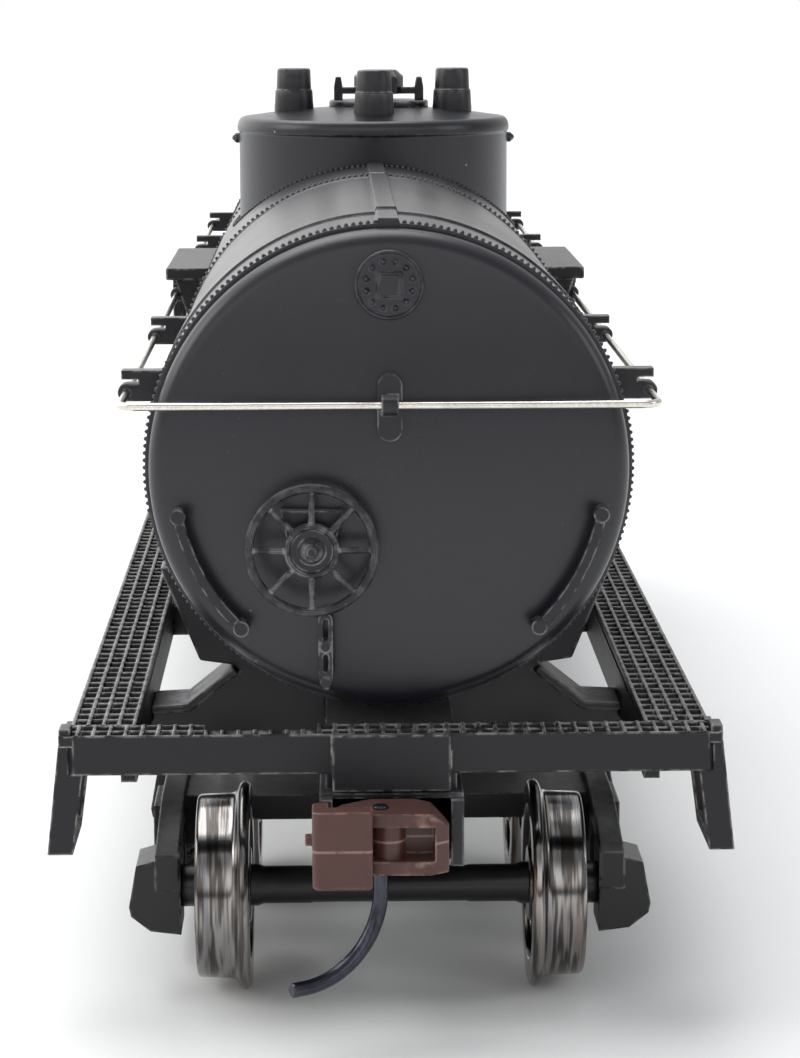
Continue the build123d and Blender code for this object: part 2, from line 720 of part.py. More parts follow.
# ---------------------------------------------------------------- coupler pockets
box_half, box_wall = 3.6, 0.65
box_front, box_back = 62.0, 53.4
ear_front, ear_bottom, ear_top = 62.6, 8.6, 12.05
lid_top = 9.3
ceiling = 11.95
post_radius = 0.9
screw_head_radius, screw_head_height, screw_round = 0.95, 0.5, 0.15
screw_bite = 1.5            # how far the screw reaches above the pocket
slot_long, slot_wide, slot_deep = 1.5, 0.25, 0.2

with BuildPart() as coupler_box:
    with Locations((0, -(box_front + box_back) / 2, (lid_top + box_top) / 2)):
        Box(2 * box_half, box_front - box_back, box_top - lid_top)
    with Locations((0, -(box_front + box_back + box_wall) / 2, (lid_top + ceiling) / 2)):
        Box(2 * (box_half - box_wall), box_front - box_back - box_wall, ceiling - lid_top, mode=Mode.SUBTRACT)
    for side in (-1, 1):
        with BuildSketch(Plane.XY.offset(ear_bottom)):
            with Locations((side * (box_half - box_wall / 2), -(box_front + ear_front) / 2)):
                Rectangle(box_wall, ear_front - box_front)
        extrude(amount=ear_top - ear_bottom)
    with Locations((0, -pivot_y, (lid_top + ceiling) / 2)):
        Cylinder(post_radius, ceiling - lid_top)
    with Locations((0, -pivot_y, box_top)):
        Cylinder(screw_radius, 8, mode=Mode.SUBTRACT)
write_both_ends(coupler_box.part, "coupler_box")

with BuildPart() as coupler_lid:
    with Locations((0, -(box_front + box_back) / 2, (lid_top + box_bottom) / 2)):
        Box(2 * box_half, box_front - box_back, lid_top - box_bottom)
    with Locations((0, -pivot_y, box_bottom)):
        Cylinder(screw_radius, 4, mode=Mode.SUBTRACT)
write_both_ends(coupler_lid.part, "coupler_lid")

with BuildPart() as coupler_screw:
    with BuildSketch(Plane.XY.offset(box_bottom)):
        with Locations((0, -pivot_y)):
            Circle(screw_radius)
    extrude(amount=box_top + screw_bite - box_bottom)
    with BuildSketch(Plane.XY.offset(box_bottom)):
        with Locations((0, -pivot_y)):
            Circle(screw_head_radius)
    extrude(amount=-screw_head_height)
    fillet(coupler_screw.faces().sort_by(Axis.Z)[0].edges(), screw_round)
    with Locations((0, -pivot_y, box_bottom - screw_head_height)):
        Box(slot_long, slot_wide, 2 * slot_deep, mode=Mode.SUBTRACT)
        Box(slot_wide, slot_long, 2 * slot_deep, mode=Mode.SUBTRACT)
write_group([coupler_screw.part, turned * coupler_screw.part], "coupler_screws")

# ---------------------------------------------------------------- coupler head, knuckle, trip pin and spring
shank_half, shank_bottom, shank_top = 1.1, coupler_z - 1.1, coupler_z + 1.1
eye_radius = 1.75
head_bottom, head_top = coupler_z - 1.55, coupler_z + 1.55
mouth_bottom, mouth_top = coupler_z - 0.85, coupler_z + 0.85
knuckle_x, knuckle_y = -2.3, -64.55
knuckle_pin = 0.35
boss_x, boss_y, boss_radius = -0.2, -64.45, 0.85
slope_x, slope_z = 1.9, 1.0      # the arm's outer corner slopes down over this width and height
pin_x, pin_y, pin_radius = -0.6, -64.4, 0.38

with BuildPart() as coupler_head:
    with BuildSketch(Plane.XY.offset(shank_bottom)):
        with Locations((0, -pivot_y)):
            Circle(eye_radius)
        with Locations((0, -(pivot_y + 63) / 2)):
            Rectangle(2 * shank_half, 63 - pivot_y)
        with Locations((0, -pivot_y)):
            Circle(post_radius + running, mode=Mode.SUBTRACT)
    extrude(amount=shank_top - shank_bottom)
    with BuildSketch(Plane.XY.offset(head_bottom)):
        with BuildLine():
            Polyline(
                (-1.1, -62.7),
                (-2.55, -63.75),
                (-2.9, -64.6),
                (-2.55, -65.2),
                (-0.9, -65.6),
                (1.9, -65.7),
                (2.75, -65.1),
                (2.8, -64.1),
                (1.1, -62.7),
                close=True,
            )
        make_face()
    extrude(amount=head_top - head_bottom)
    with BuildSketch(Plane.XY.offset(mouth_bottom)):
        with Locations((-0.7, -65.2)):
            Rectangle(5.5, 2.1)
        with Locations((knuckle_x, knuckle_y)):
            Circle(0.9)
        with Locations((boss_x, boss_y)):
            Circle(boss_radius, mode=Mode.SUBTRACT)
    extrude(amount=mouth_top - mouth_bottom, mode=Mode.SUBTRACT)
    chamfer(coupler_head.edges().filter_by(Axis.Z).sort_by(Axis.X)[-1], 0.3)
    with BuildSketch(Plane.XZ.offset(-pin_y + 3)):
        Polygon((slope_x, head_top), (3.0, head_top), (3.0, head_top - slope_z), align=None)
    extrude(amount=-5, mode=Mode.SUBTRACT)
    with BuildSketch(Plane.XY.offset(mouth_bottom)):
        with Locations((knuckle_x, knuckle_y)):
            Circle(knuckle_pin)
    extrude(amount=mouth_top - mouth_bottom)
    with Locations((pin_x, pin_y, coupler_z)):
        Cylinder(pin_radius, 6, mode=Mode.SUBTRACT)
write_both_ends(coupler_head.part, "coupler_head")

knuckle_bottom, knuckle_top = coupler_z - 1.95, coupler_z + 2.0
with BuildPart() as knuckle:
    with BuildSketch(Plane.XY.offset(knuckle_bottom)):
        with BuildLine():
            Polyline(
                (-1.0, -65.85),
                (-1.0, -66.9),
                (-3.95, -66.9),
                (-3.95, -64.95),
                (-3.15, -64.95),
                (-3.15, -65.85),
                close=True,
            )
        make_face()
        fillet(vertices().sort_by(Axis.X)[:2], 0.35)
        fillet(vertices().sort_by(Axis.X)[-2:].sort_by(Axis.Y)[0], 0.25)
    extrude(amount=knuckle_top - knuckle_bottom)
    chamfer(knuckle.faces().sort_by(Axis.Z)[0].edges(), 0.15)
    with BuildSketch(Plane.XY.offset(mouth_bottom + running)):
        with Locations((-2.35, -65.25)):
            Rectangle(1.6, 1.4)
        with Locations((knuckle_x, knuckle_y)):
            Circle(0.75)
    extrude(amount=mouth_top - mouth_bottom - 2 * running)
    with Locations((knuckle_x, knuckle_y, coupler_z)):
        Cylinder(knuckle_pin + running, 4, mode=Mode.SUBTRACT)
    with Locations((-4.05, -65.6, coupler_z + 0.3)):
        Box(0.5, 0.5, 0.5)
write_both_ends(knuckle.part, "knuckle")

trip_reach, trip_low, trip_bend = 5.0, 3.6, 4.4
trip_heading = radians(208)
heading = Vector(cos(trip_heading), sin(trip_heading), 0)
trip_plane = Plane(origin=(pin_x, pin_y, 0), x_dir=heading, z_dir=heading.cross(Vector(0, 0, 1)))
trip_top = head_top + 0.15
with BuildPart() as trip_pin:
    with BuildLine(trip_plane):
        FilletPolyline((0, trip_top), (0, trip_low), (trip_reach, trip_low), radius=trip_bend)
    with BuildSketch(Plane(origin=(pin_x, pin_y, trip_top), z_dir=(0, 0, -1))):
        Circle(pin_radius)
    sweep()
write_both_ends(trip_pin.part, "trip_pin")

with BuildPart() as coupler_spring:
    with BuildSketch(Plane.XY.offset(coupler_z - 0.7)):
        for side in (-1, 1):
            with BuildLine():
                root = (side * shank_half, -59.2)
                tip = (side * 2.2, -61.0)
                ThreePointArc(root, (side * 1.8, -59.9), tip)
                Line(tip, (side * 2.05, -61.05))
                ThreePointArc((side * 2.05, -61.05), (side * 1.65, -60.0), (side * shank_half, -59.4))
                Line((side * shank_half, -59.4), root)
            make_face()
    extrude(amount=1.4)
write(Compound(children=list(coupler_spring.part.solids())), "coupler_spring_front")
write(turned * Compound(children=list(coupler_spring.part.solids())), "coupler_spring_rear")

# ---------------------------------------------------------------- bogies
journal_half = 1.65
bogie_bolster_half, bogie_bolster_low, bogie_bolster_top = 2.2, 6.9, 8.3
centre_plate_top = pad_bottom - 0.1
point_x, point_slope = 12.85, 0.5636      # axle's needle point and the slope of its cone
spring_x, spring_y, spring_radius, spring_height = 11.6, 1.25, 0.72, 2.8
spring_turns, turn_pitch, turn_proud, turn_thick = 4, 0.6, 0.22, 0.3
frame_thick = 1.2
seat_x, seat_drop = 11.3, 0.7

with BuildPart() as bogie_frame:
    for side in (-1, 1):
        with BuildSketch(Plane.YZ.offset(side * frame_inner)):
            with Locations((-bogie_y, 0)):
                Polygon(
                    (-11.3, 7.55), (-8.3, 8.3), (-4.6, 8.95), (4.6, 8.95), (8.3, 8.3), (11.3, 7.55),
                    (11.3, 5.6), (8.0, 5.0), (5.0, 2.9), (3.2, 2.3),
                    (-3.2, 2.3), (-5.0, 2.9), (-8.0, 5.0), (-11.3, 5.6),
                    align=None,
                )
                for end in (-1, 1):
                    Polygon(
                        (end * 4.1, 7.75), (end * 7.2, 7.2), (end * 6.9, 5.7), (end * 4.1, 3.9),
                        align=None, mode=Mode.SUBTRACT,
                    )
                Polygon((-2.7, 3.2), (2.7, 3.2), (2.7, 7.7), (-2.7, 7.7), align=None, mode=Mode.SUBTRACT)
        extrude(amount=side * frame_thick)
        for end in (-1, 1):
            with BuildSketch(Plane.XZ.offset(bogie_y - end * axle_offset)):
                with BuildLine():
                    Polyline(
                        (side * 10.9, 7.6),
                        (side * 13.2, 6.95),
                        (side * 13.6, 4.75),
                        (side * 13.5, 4.25),
                        (side * 12.5, 3.45),
                        (side * 10.9, 3.25),
                        close=True,
                    )
                make_face()
            extrude(amount=journal_half, both=True)
        with Locations((side * seat_x, -bogie_y, (bogie_bolster_low + 7.7) / 2 - seat_drop)):
            Box(3.0, 2 * bogie_bolster_half, 2.2)
        for y in (-spring_y, spring_y):
            with Locations((side * spring_x, -bogie_y + y, 4.2)):
                Cylinder(spring_radius, spring_height)
            for turn in range(spring_turns):
                with Locations((side * spring_x, -bogie_y + y, 3.5 + turn_pitch * turn)):
                    Cylinder(spring_radius + turn_proud, turn_thick)
    with Locations((0, -bogie_y, (bogie_bolster_low + bogie_bolster_top) / 2)):
        Box(2 * frame_inner + 0.6, 2 * bogie_bolster_half, bogie_bolster_top - bogie_bolster_low)
    with Locations((0, -bogie_y, (bogie_bolster_top + centre_plate_top) / 2)):
        Cylinder(3.0, centre_plate_top - bogie_bolster_top)
    with Locations((0, -bogie_y, 8)):
        Cylinder(king_radius + running, 6, mode=Mode.SUBTRACT)
    for end in (-1, 1):
        for side in (-1, 1):
            with BuildSketch(Plane.XY.offset(axle_z)):
                with Locations((0, -bogie_y + end * axle_offset)):
                    Polygon(
                        (side * 10.5, 0), (side * (point_x + 0.1), 0),
                        (side * 10.5, (point_x + 0.1 - 10.5) * point_slope),
                        align=None,
                    )
            revolve(axis=Axis((0, -bogie_y + end * axle_offset, axle_z), (1, 0, 0)), mode=Mode.SUBTRACT)
write_both_ends(bogie_frame.part, "bogie_frame")

king_head, king_head_height, king_round = 1.7, 1.0, 0.3
king_top = pad_bottom + 3.5
drive_long, drive_wide, drive_deep = 2.4, 0.4, 0.4
with BuildPart() as bogie_screw:
    with BuildSketch(Plane.XY.offset(bogie_bolster_low - running)):
        with Locations((0, -bogie_y)):
            Circle(king_head)
    extrude(amount=-king_head_height)
    fillet(bogie_screw.faces().sort_by(Axis.Z)[0].edges(), king_round)
    with BuildSketch(Plane.XY.offset(bogie_bolster_low - running)):
        with Locations((0, -bogie_y)):
            Circle(king_radius)
    extrude(amount=king_top - bogie_bolster_low + running)
    with Locations((0, -bogie_y, bogie_bolster_low - running - king_head_height)):
        Box(drive_long, drive_wide, 2 * drive_deep, mode=Mode.SUBTRACT)
        Box(drive_wide, drive_long, 2 * drive_deep, mode=Mode.SUBTRACT)
write_group([bogie_screw.part, turned * bogie_screw.part], "bogie_screws")

cone_x = point_x - axle_radius / point_slope
wheel_profile = (
    (7.25, axle_radius), (7.25, 1.9), (7.75, 2.1), (7.75, 3.9), (7.3, 4.1), (7.25, 5.2), (7.4, 5.4),
    (7.65, 5.44), (7.9, 5.2), (8.05, 4.92), (8.25, 4.85), (9.85, 4.78), (10.05, 4.6), (10.05, 4.05),
    (9.3, 3.85), (9.1, 2.2), (9.8, 1.9), (10.1, 1.6), (10.1, axle_radius),
)
axle_places = (-bogie_y - axle_offset, -bogie_y + axle_offset, bogie_y - axle_offset, bogie_y + axle_offset)
for number, y in enumerate(axle_places, start=1):
    centre_line = Axis((0, y, axle_z), (1, 0, 0))
    with BuildPart() as axle:
        with BuildSketch(Plane.XY.offset(axle_z)):
            with Locations((0, y)):
                Polygon(
                    (-point_x, 0), (point_x, 0), (cone_x, axle_radius), (-cone_x, axle_radius),
                    align=None,
                )
        revolve(axis=centre_line)
    write(axle.part, f"axle_{number}")
    with BuildPart() as wheels:
        with BuildSketch(Plane.XY.offset(axle_z)):
            with Locations((0, y)):
                for side in (-1, 1):
                    Polygon(*[(side * x, radius) for x, radius in wheel_profile], align=None)
        revolve(axis=centre_line)
    write(Compound(children=list(wheels.part.solids())), f"wheels_{number}")
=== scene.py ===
import bpy
import bmesh
import json
import numpy as np
from math import cos, pi, radians, sin
from mathutils import Matrix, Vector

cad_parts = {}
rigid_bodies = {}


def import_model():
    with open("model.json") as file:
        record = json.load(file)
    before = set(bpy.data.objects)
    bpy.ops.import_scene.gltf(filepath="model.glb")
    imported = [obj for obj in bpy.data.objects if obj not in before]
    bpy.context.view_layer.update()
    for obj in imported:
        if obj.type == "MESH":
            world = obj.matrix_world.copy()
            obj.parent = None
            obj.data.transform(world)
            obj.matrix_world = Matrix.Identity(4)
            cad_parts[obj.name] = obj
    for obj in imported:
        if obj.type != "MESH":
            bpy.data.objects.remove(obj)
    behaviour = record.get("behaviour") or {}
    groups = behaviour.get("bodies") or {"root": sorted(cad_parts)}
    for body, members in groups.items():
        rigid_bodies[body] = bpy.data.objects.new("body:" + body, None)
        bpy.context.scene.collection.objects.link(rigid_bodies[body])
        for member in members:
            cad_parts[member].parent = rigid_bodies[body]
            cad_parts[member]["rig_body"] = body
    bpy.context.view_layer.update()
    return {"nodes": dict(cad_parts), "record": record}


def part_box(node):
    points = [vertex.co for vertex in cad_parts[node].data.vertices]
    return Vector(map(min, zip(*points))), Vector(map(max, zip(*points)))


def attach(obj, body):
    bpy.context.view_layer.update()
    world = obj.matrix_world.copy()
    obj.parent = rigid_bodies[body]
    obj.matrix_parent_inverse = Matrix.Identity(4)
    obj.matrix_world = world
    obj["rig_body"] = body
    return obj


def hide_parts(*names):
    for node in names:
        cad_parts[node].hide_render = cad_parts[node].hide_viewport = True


for leftover in list(bpy.data.objects):
    bpy.data.objects.remove(leftover)
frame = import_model()
mm = 0.001    # shapes below are worked out in millimetres and put into the meshes in metres


# ---- shader maths: a wrapped socket, and the sheet of nodes it lives on

class Signal:
    def __init__(self, sheet, link):
        self.sheet = sheet
        self.link = link

    def math(self, operation, *values):
        return self.sheet.node("ShaderNodeMath", {"operation": operation}, list(values))

    def __add__(self, other):
        return self.math("ADD", self, other)

    def __sub__(self, other):
        return self.math("SUBTRACT", self, other)

    def __rsub__(self, other):
        return self.math("SUBTRACT", other, self)

    def __mul__(self, other):
        return self.math("MULTIPLY", self, other)

    def __pow__(self, other):
        return self.math("POWER", self, other)

    def between(self, low, high):    # 0 below low, 1 above high, smooth in the middle
        return self.sheet.node("ShaderNodeMapRange", {"interpolation_type": "SMOOTHSTEP"},
                               {"Value": self, "From Min": low, "From Max": high})

    __radd__ = __add__
    __rmul__ = __mul__


class Sheet:
    def __init__(self, owner):
        owner.use_nodes = True
        self.tree = owner.node_tree
        self.tree.nodes.clear()

    def node(self, kind, settings=None, values=None, out=0):
        made = self.tree.nodes.new(kind)
        for key, value in (settings or {}).items():
            if key == "stops":
                ramp = made.color_ramp.elements
                while len(ramp) < len(value):
                    ramp.new(0.5)
                for stop, (place, colour) in zip(ramp, value):
                    stop.position = place
                    stop.color = (*colour, 1)
            else:
                setattr(made, key, value)
        pairs = enumerate(values) if isinstance(values, list) else (values or {}).items()
        for key, value in pairs:
            if isinstance(value, Signal):
                self.tree.links.new(value.link, made.inputs[key])
            else:
                made.inputs[key].default_value = value
        return Signal(self, made.outputs[out]) if len(made.outputs) else made

    def mix(self, factor, first, second):
        first, second = [(*c, 1) if isinstance(c, tuple) else c for c in (first, second)]
        return self.node("ShaderNodeMix", {"data_type": "RGBA"}, {0: factor, 6: first, 7: second}, out=2)

    def place(self):    # object coordinates, one unit to the millimetre
        spot = self.node("ShaderNodeTexCoord", out=3)
        return self.node("ShaderNodeVectorMath", {"operation": "SCALE"}, {0: spot, "Scale": 1 / mm})

    def stretched(self, spot, by):
        return self.node("ShaderNodeVectorMath", {"operation": "MULTIPLY"}, [spot, by])

    def noise(self, spot, scale, detail=2.0, rough=0.5):
        return self.node("ShaderNodeTexNoise", None,
                         {"Vector": spot, "Scale": scale, "Detail": detail, "Roughness": rough})

    def upward(self):    # 1 on faces that look up, 0 on the rest
        turned = self.node("ShaderNodeSeparateXYZ", None, [self.node("ShaderNodeNewGeometry", out=3)], out=2)
        return turned.between(0.6, 0.98)

    def edges(self, width, spread):
        # 0 on a flat face, rising to 1 where the face turns a corner: how far the normal that is
        # averaged over a small radius leans away from the face's own
        soft = self.node("ShaderNodeBevel", {"samples": 6}, {"Radius": width * mm})
        own = self.node("ShaderNodeNewGeometry", out=3)
        along = self.node("ShaderNodeVectorMath", {"operation": "DOT_PRODUCT"}, [soft, own], out=1)
        return soft, (1 - along).between(0.0, spread)

    def finish(self, values, height=None, depth=0.01, normal=None):
        if height is not None:
            bump = {"Height": height, "Distance": depth * mm, "Strength": 1.0}
            if normal is not None:
                bump["Normal"] = normal
            values["Normal"] = self.node("ShaderNodeBump", None, bump)
        shader = self.node("ShaderNodeBsdfPrincipled", None, values)
        self.node("ShaderNodeOutputMaterial", None, {"Surface": shader})


# ---- finishes

plastics = {
    "tank_plastic": {"shine": 0.5, "base": (0.0066, 0.0064, 0.0096), "haze": (0.0135, 0.0128, 0.0185), "edge": (0.10, 0.10, 0.125),
                     "rough": 0.31, "grain": 11.0, "depth": 0.008, "wearAndGlint": 0.45, "dust": 0.8, "paintedTopLight": 0.0},
    "body_plastic": {"shine": 0.4, "base": (0.0064, 0.0066, 0.0088), "haze": (0.0125, 0.0125, 0.0155), "edge": (0.26, 0.255, 0.265),
                     "rough": 0.36, "grain": 12.0, "depth": 0.008, "wearAndGlint": 0.9, "dust": 0.5, "paintedTopLight": 0.3},
    "board_plastic": {"shine": 0.34, "base": (0.0066, 0.0068, 0.0088), "haze": (0.0135, 0.0130, 0.0155), "edge": (0.34, 0.32, 0.31),
                      "rough": 0.42, "grain": 10.0, "depth": 0.012, "wearAndGlint": 1.0, "dust": 1.0, "paintedTopLight": 0.22},
    "bogie_plastic": {"shine": 0.4, "base": (0.0050, 0.0049, 0.0058), "haze": (0.0090, 0.0087, 0.0098), "edge": (0.22, 0.215, 0.21),
                      "rough": 0.34, "grain": 8.0, "depth": 0.012, "wearAndGlint": 0.7, "dust": 0.3, "paintedTopLight": 0.25},
    "axle_plastic": {"shine": 0.4, "base": (0.0060, 0.0060, 0.0066), "haze": (0.0100, 0.0100, 0.0108), "edge": (0.05, 0.05, 0.05),
                     "rough": 0.32, "grain": 12.0, "depth": 0.004, "wearAndGlint": 0.3, "dust": 0.2, "paintedTopLight": 0.0},
    "coupler_plastic": {"shine": 0.38, "base": (0.060, 0.023, 0.019), "haze": (0.088, 0.036, 0.030), "edge": (0.42, 0.27, 0.23),
                        "rough": 0.34, "grain": 7.0, "depth": 0.012, "wearAndGlint": 0.6, "dust": 0.15, "paintedTopLight": 0.1,
                        "seam": 10.62},
}


def mouldedPlastic(name, look):
    # colour: the base, clouded towards haze by two slow noises, painted lighter in patches on upward faces (painted top
    # light), lighter on edges (part wear, part painted highlight) and on a few specks of dust
    # roughness: the base value, rubbed smoother in slow patches; relief: fine grain over a slow ripple
    material = bpy.data.materials.new(name)
    sheet = Sheet(material)
    spot = sheet.place()
    cloud = sheet.noise(spot, 0.11, 4.0, 0.6)
    mottle = sheet.noise(spot, 1.3, 3.0, 0.6)
    grain = sheet.noise(spot, look["grain"], 2.0, 0.7)
    soft, corner = sheet.edges(0.16, 0.05)
    # edges lighter in mottled patches: part wear, part painted highlight along the corners
    edgeWearAndGlint = corner * mottle.between(0.40, 0.60) * look["wearAndGlint"]
    cell = sheet.node("ShaderNodeTexVoronoi", None, {"Vector": spot, "Scale": 0.42})
    pick = sheet.noise(spot, 0.35, 1.0)
    speck = (1 - cell.between(0.018, 0.04)) * pick.between(0.5, 0.56) * look["dust"]
    fine = sheet.node("ShaderNodeTexVoronoi", None, {"Vector": spot, "Scale": 1.7})
    pepper = (1 - fine.between(0.02, 0.07)) * cloud.between(0.5, 0.7) * (0.35 * look["dust"])
    colour = sheet.mix(cloud * 0.6 + mottle * 0.4, look["base"], look["haze"])
    # painted top light: upward faces painted lighter in patches, as light falling from above
    colour = sheet.mix(sheet.upward() * (mottle * 0.5 + cloud * 0.5).between(0.3, 0.6) * look["paintedTopLight"],
                       colour, look["edge"])
    # wear and painted highlight on the edges
    colour = sheet.mix(edgeWearAndGlint, colour, look["edge"])
    colour = sheet.mix(speck + pepper, colour, (0.30, 0.29, 0.28))
    if "seam" in look:    # the line where the mould's halves met, at one height
        height = sheet.node("ShaderNodeSeparateXYZ", None, [spot], out=2) - look["seam"]
        line = 1 - height.math("ABSOLUTE", height).between(0.03, 0.09)
        # the seam is painted lighter as a line: a painted highlight along the mould seam
        colour = sheet.mix(line * mottle.between(0.3, 0.5) * 0.5, colour, look["edge"])
    rough = look["rough"] + (cloud - 0.5) * 0.16 + (grain - 0.5) * 0.14 - corner * 0.06
    height = grain * 0.7 + mottle * 0.6
    sheet.finish({"Base Color": colour, "Roughness": rough, "IOR": 1.5, "Specular IOR Level": look["shine"]},
                 height, look["depth"], soft)
    return material


metals = {
    "handrail_wire": {"base": (0.80, 0.76, 0.70), "shade": (0.52, 0.48, 0.43), "rough": 0.20, "metallic": 1.0,
                      "grain": (9.0, 9.0, 9.0), "depth": 0.004},
    "blued_steel": {"base": (0.060, 0.062, 0.078), "shade": (0.030, 0.030, 0.040), "rough": 0.22, "metallic": 0.9,
                    "grain": (6.0, 6.0, 1.2), "depth": 0.003},
    "screw_steel": {"base": (0.10, 0.10, 0.105), "shade": (0.05, 0.05, 0.052), "rough": 0.32, "metallic": 1.0,
                    "grain": (8.0, 8.0, 8.0), "depth": 0.005},
    "spring_bronze": {"base": (0.55, 0.36, 0.16), "shade": (0.38, 0.23, 0.10), "rough": 0.28, "metallic": 1.0,
                      "grain": (3.0, 12.0, 12.0), "depth": 0.003},
    "weight_steel": {"base": (0.42, 0.42, 0.43), "shade": (0.26, 0.25, 0.25), "rough": 0.45, "metallic": 1.0,
                     "grain": (6.0, 0.5, 6.0), "depth": 0.010},
}


def drawnMetal(name, look):
    # colour and roughness follow one noise drawn out along the metal's grain; a second one tarnishes slow patches
    material = bpy.data.materials.new(name)
    sheet = Sheet(material)
    spot = sheet.place()
    streak = sheet.noise(sheet.stretched(spot, look["grain"]), 1.0, 3.0, 0.6)
    patch = sheet.noise(spot, 0.5, 3.0, 0.6)
    soft, corner = sheet.edges(0.10, 0.2)
    colour = sheet.mix(streak.between(0.35, 0.7) * 0.6 + patch.between(0.45, 0.75) * 0.4,
                       look["base"], look["shade"])
    rough = look["rough"] + (streak - 0.5) * 0.14 + (patch - 0.5) * 0.12 - corner * 0.05
    sheet.finish({"Base Color": colour, "Roughness": rough, "Metallic": look["metallic"]},
                 streak, look["depth"], soft)
    return material


wheelLook = {"plate": (0.045, 0.042, 0.042), "tread": (0.30, 0.285, 0.275), "warmReflection": (0.23, 0.175, 0.13),
             "coolReflection": (0.10, 0.11, 0.135), "rough": 0.17, "ring": 26.0, "depth": 0.004}


def turnedWheel(name, y, z):
    # lathe marks: a noise read along the distance from the axle and along X only, so that it runs in rings;
    # warmer and cooler bands, painted reflections, and darker stain bands are noises that change fast along X and
    # slowly with the angle round the axle
    material = bpy.data.materials.new(name)
    sheet = Sheet(material)
    spot = sheet.node("ShaderNodeVectorMath", {"operation": "SUBTRACT"}, [sheet.place(), (0, y, z)])
    parts = sheet.node("ShaderNodeSeparateXYZ", None, [spot])
    x, across, up = [Signal(sheet, parts.link.node.outputs[n]) for n in range(3)]
    reach = (across * across + up * up) ** 0.5
    rings = sheet.noise(sheet.node("ShaderNodeCombineXYZ", None, [reach, x * 0.7]), wheelLook["ring"], 2.0)
    angle = across.math("ARCTAN2", up, across)
    along = sheet.node("ShaderNodeCombineXYZ", None, [x * 1.5, angle.math("SINE", angle) * 0.5,
                                                      angle.math("COSINE", angle) * 0.5])
    band = sheet.noise(along, 1.0, 3.0, 0.6)
    stain = sheet.noise(along, 1.8, 2.0, 0.55)
    soft, corner = sheet.edges(0.12, 0.15)
    onTread = reach.between(4.3, 4.6)
    colour = sheet.mix(onTread, wheelLook["plate"], wheelLook["tread"])
    # painted reflections: warmer and cooler bands on the metal
    colour = sheet.mix(band.between(0.52, 0.66) * 0.55, colour, wheelLook["warmReflection"])
    colour = sheet.mix((1 - band.between(0.34, 0.48)) * 0.5, colour, wheelLook["coolReflection"])
    colour = sheet.mix(stain.between(0.45, 0.58) * 0.85, colour, (0.040, 0.034, 0.030))
    # edges painted lighter: a painted highlight on the wheel's corners
    colour = sheet.mix(corner * 0.7, colour, (0.72, 0.70, 0.67))
    rough = wheelLook["rough"] + (rings - 0.5) * 0.12 + (stain - 0.5) * 0.14
    sheet.finish({"Base Color": colour, "Roughness": rough, "Metallic": 1.0}, rings, wheelLook["depth"], soft)
    return material


finishes = {name: mouldedPlastic(name, look) for name, look in plastics.items()}
finishes.update({name: drawnMetal(name, look) for name, look in metals.items()})
slotOf = {part["node"]: part["material_slot"] for part in frame["record"]["subparts"]}
print("stage: finishes made", len(finishes))


# ---- surfaces

def gridFaces(rows, columns, closeRows=False, closeColumns=False):
    # quads between neighbouring points of a rows by columns grid; a closed side also joins last to first
    row = np.arange(rows if closeRows else rows - 1)[:, None]
    column = np.arange(columns if closeColumns else columns - 1)[None, :]
    nextRow, nextColumn = (row + 1) % rows, (column + 1) % columns
    corners = (row * columns + column, row * columns + nextColumn,
               nextRow * columns + nextColumn, nextRow * columns + column)
    return np.stack([np.broadcast_to(c, (row.size, column.size)).ravel() for c in corners], 1)


def joined(shells):
    # several (points, faces) shells as one, each shell's face numbers moved past the points before it
    points, faces, start = [], [], 0
    for shellPoints, shellFaces in shells:
        points.append(shellPoints)
        faces += [[start + corner for corner in face] for face in shellFaces]
        start += len(shellPoints)
    return np.concatenate(points), faces


def addPiece(name, shell, body, slot, material=None, replaced=(), flat=False, bevel=0.0):
    points, faces = shell
    mesh = bpy.data.meshes.new(name)
    mesh.from_pydata((np.asarray(points) * mm).tolist(), [], [list(map(int, face)) for face in faces])
    piece = bpy.data.objects.new(name, mesh)
    bpy.context.scene.collection.objects.link(piece)
    shaped = bmesh.new()
    shaped.from_mesh(mesh)
    bmesh.ops.remove_doubles(shaped, verts=shaped.verts, dist=1e-7)
    bmesh.ops.recalc_face_normals(shaped, faces=shaped.faces)
    shaped.to_mesh(mesh)
    shaped.free()
    mesh.polygons.foreach_set("use_smooth", np.full(len(mesh.polygons), not flat))
    mesh.set_sharp_from_angle(angle=radians(32))
    if bevel:
        rounding = piece.modifiers.new("rounding", "BEVEL")
        rounding.width, rounding.segments, rounding.limit_method = bevel * mm, 2, "ANGLE"
        rounding.angle_limit = radians(35)
        rounding.harden_normals = True
    mesh.materials.append(material or finishes[slot])
    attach(piece, body)
    if replaced:
        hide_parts(*replaced)
    return piece


def lathe(profile, count, centre, axis):
    # profile is (along, radius) pairs; each is turned round the axis through centre: along on the axis, and
    # radius times the cosine and sine of the angle across it. Ends on the axis meet in one point each.
    profile = np.asarray(profile, float)
    turn = np.arange(count) * 2 * pi / count
    along = np.repeat(profile[:, :1], count, 1)
    first, second = profile[:, 1:] * np.cos(turn), profile[:, 1:] * np.sin(turn)
    order = {"x": (along, first, second), "y": (second, along, first), "z": (first, second, along)}[axis]
    points = np.stack(order, 2).reshape(-1, 3) + np.asarray(centre, float)
    looped = np.allclose(profile[0], profile[-1])
    faces = gridFaces(len(profile), count, closeColumns=True).tolist()
    if not looped:
        for row in (0, len(profile) - 1):
            if profile[row, 1] > 1e-6:
                faces.append(list(range(row * count, (row + 1) * count)))
    return points, faces


def arc(centre, radius, start, stop, count):
    # points on a circle from one angle to another, in degrees
    turn = np.radians(np.linspace(start, stop, count))
    return np.stack([centre[0] + radius * np.cos(turn), centre[1] + radius * np.sin(turn)], 1)


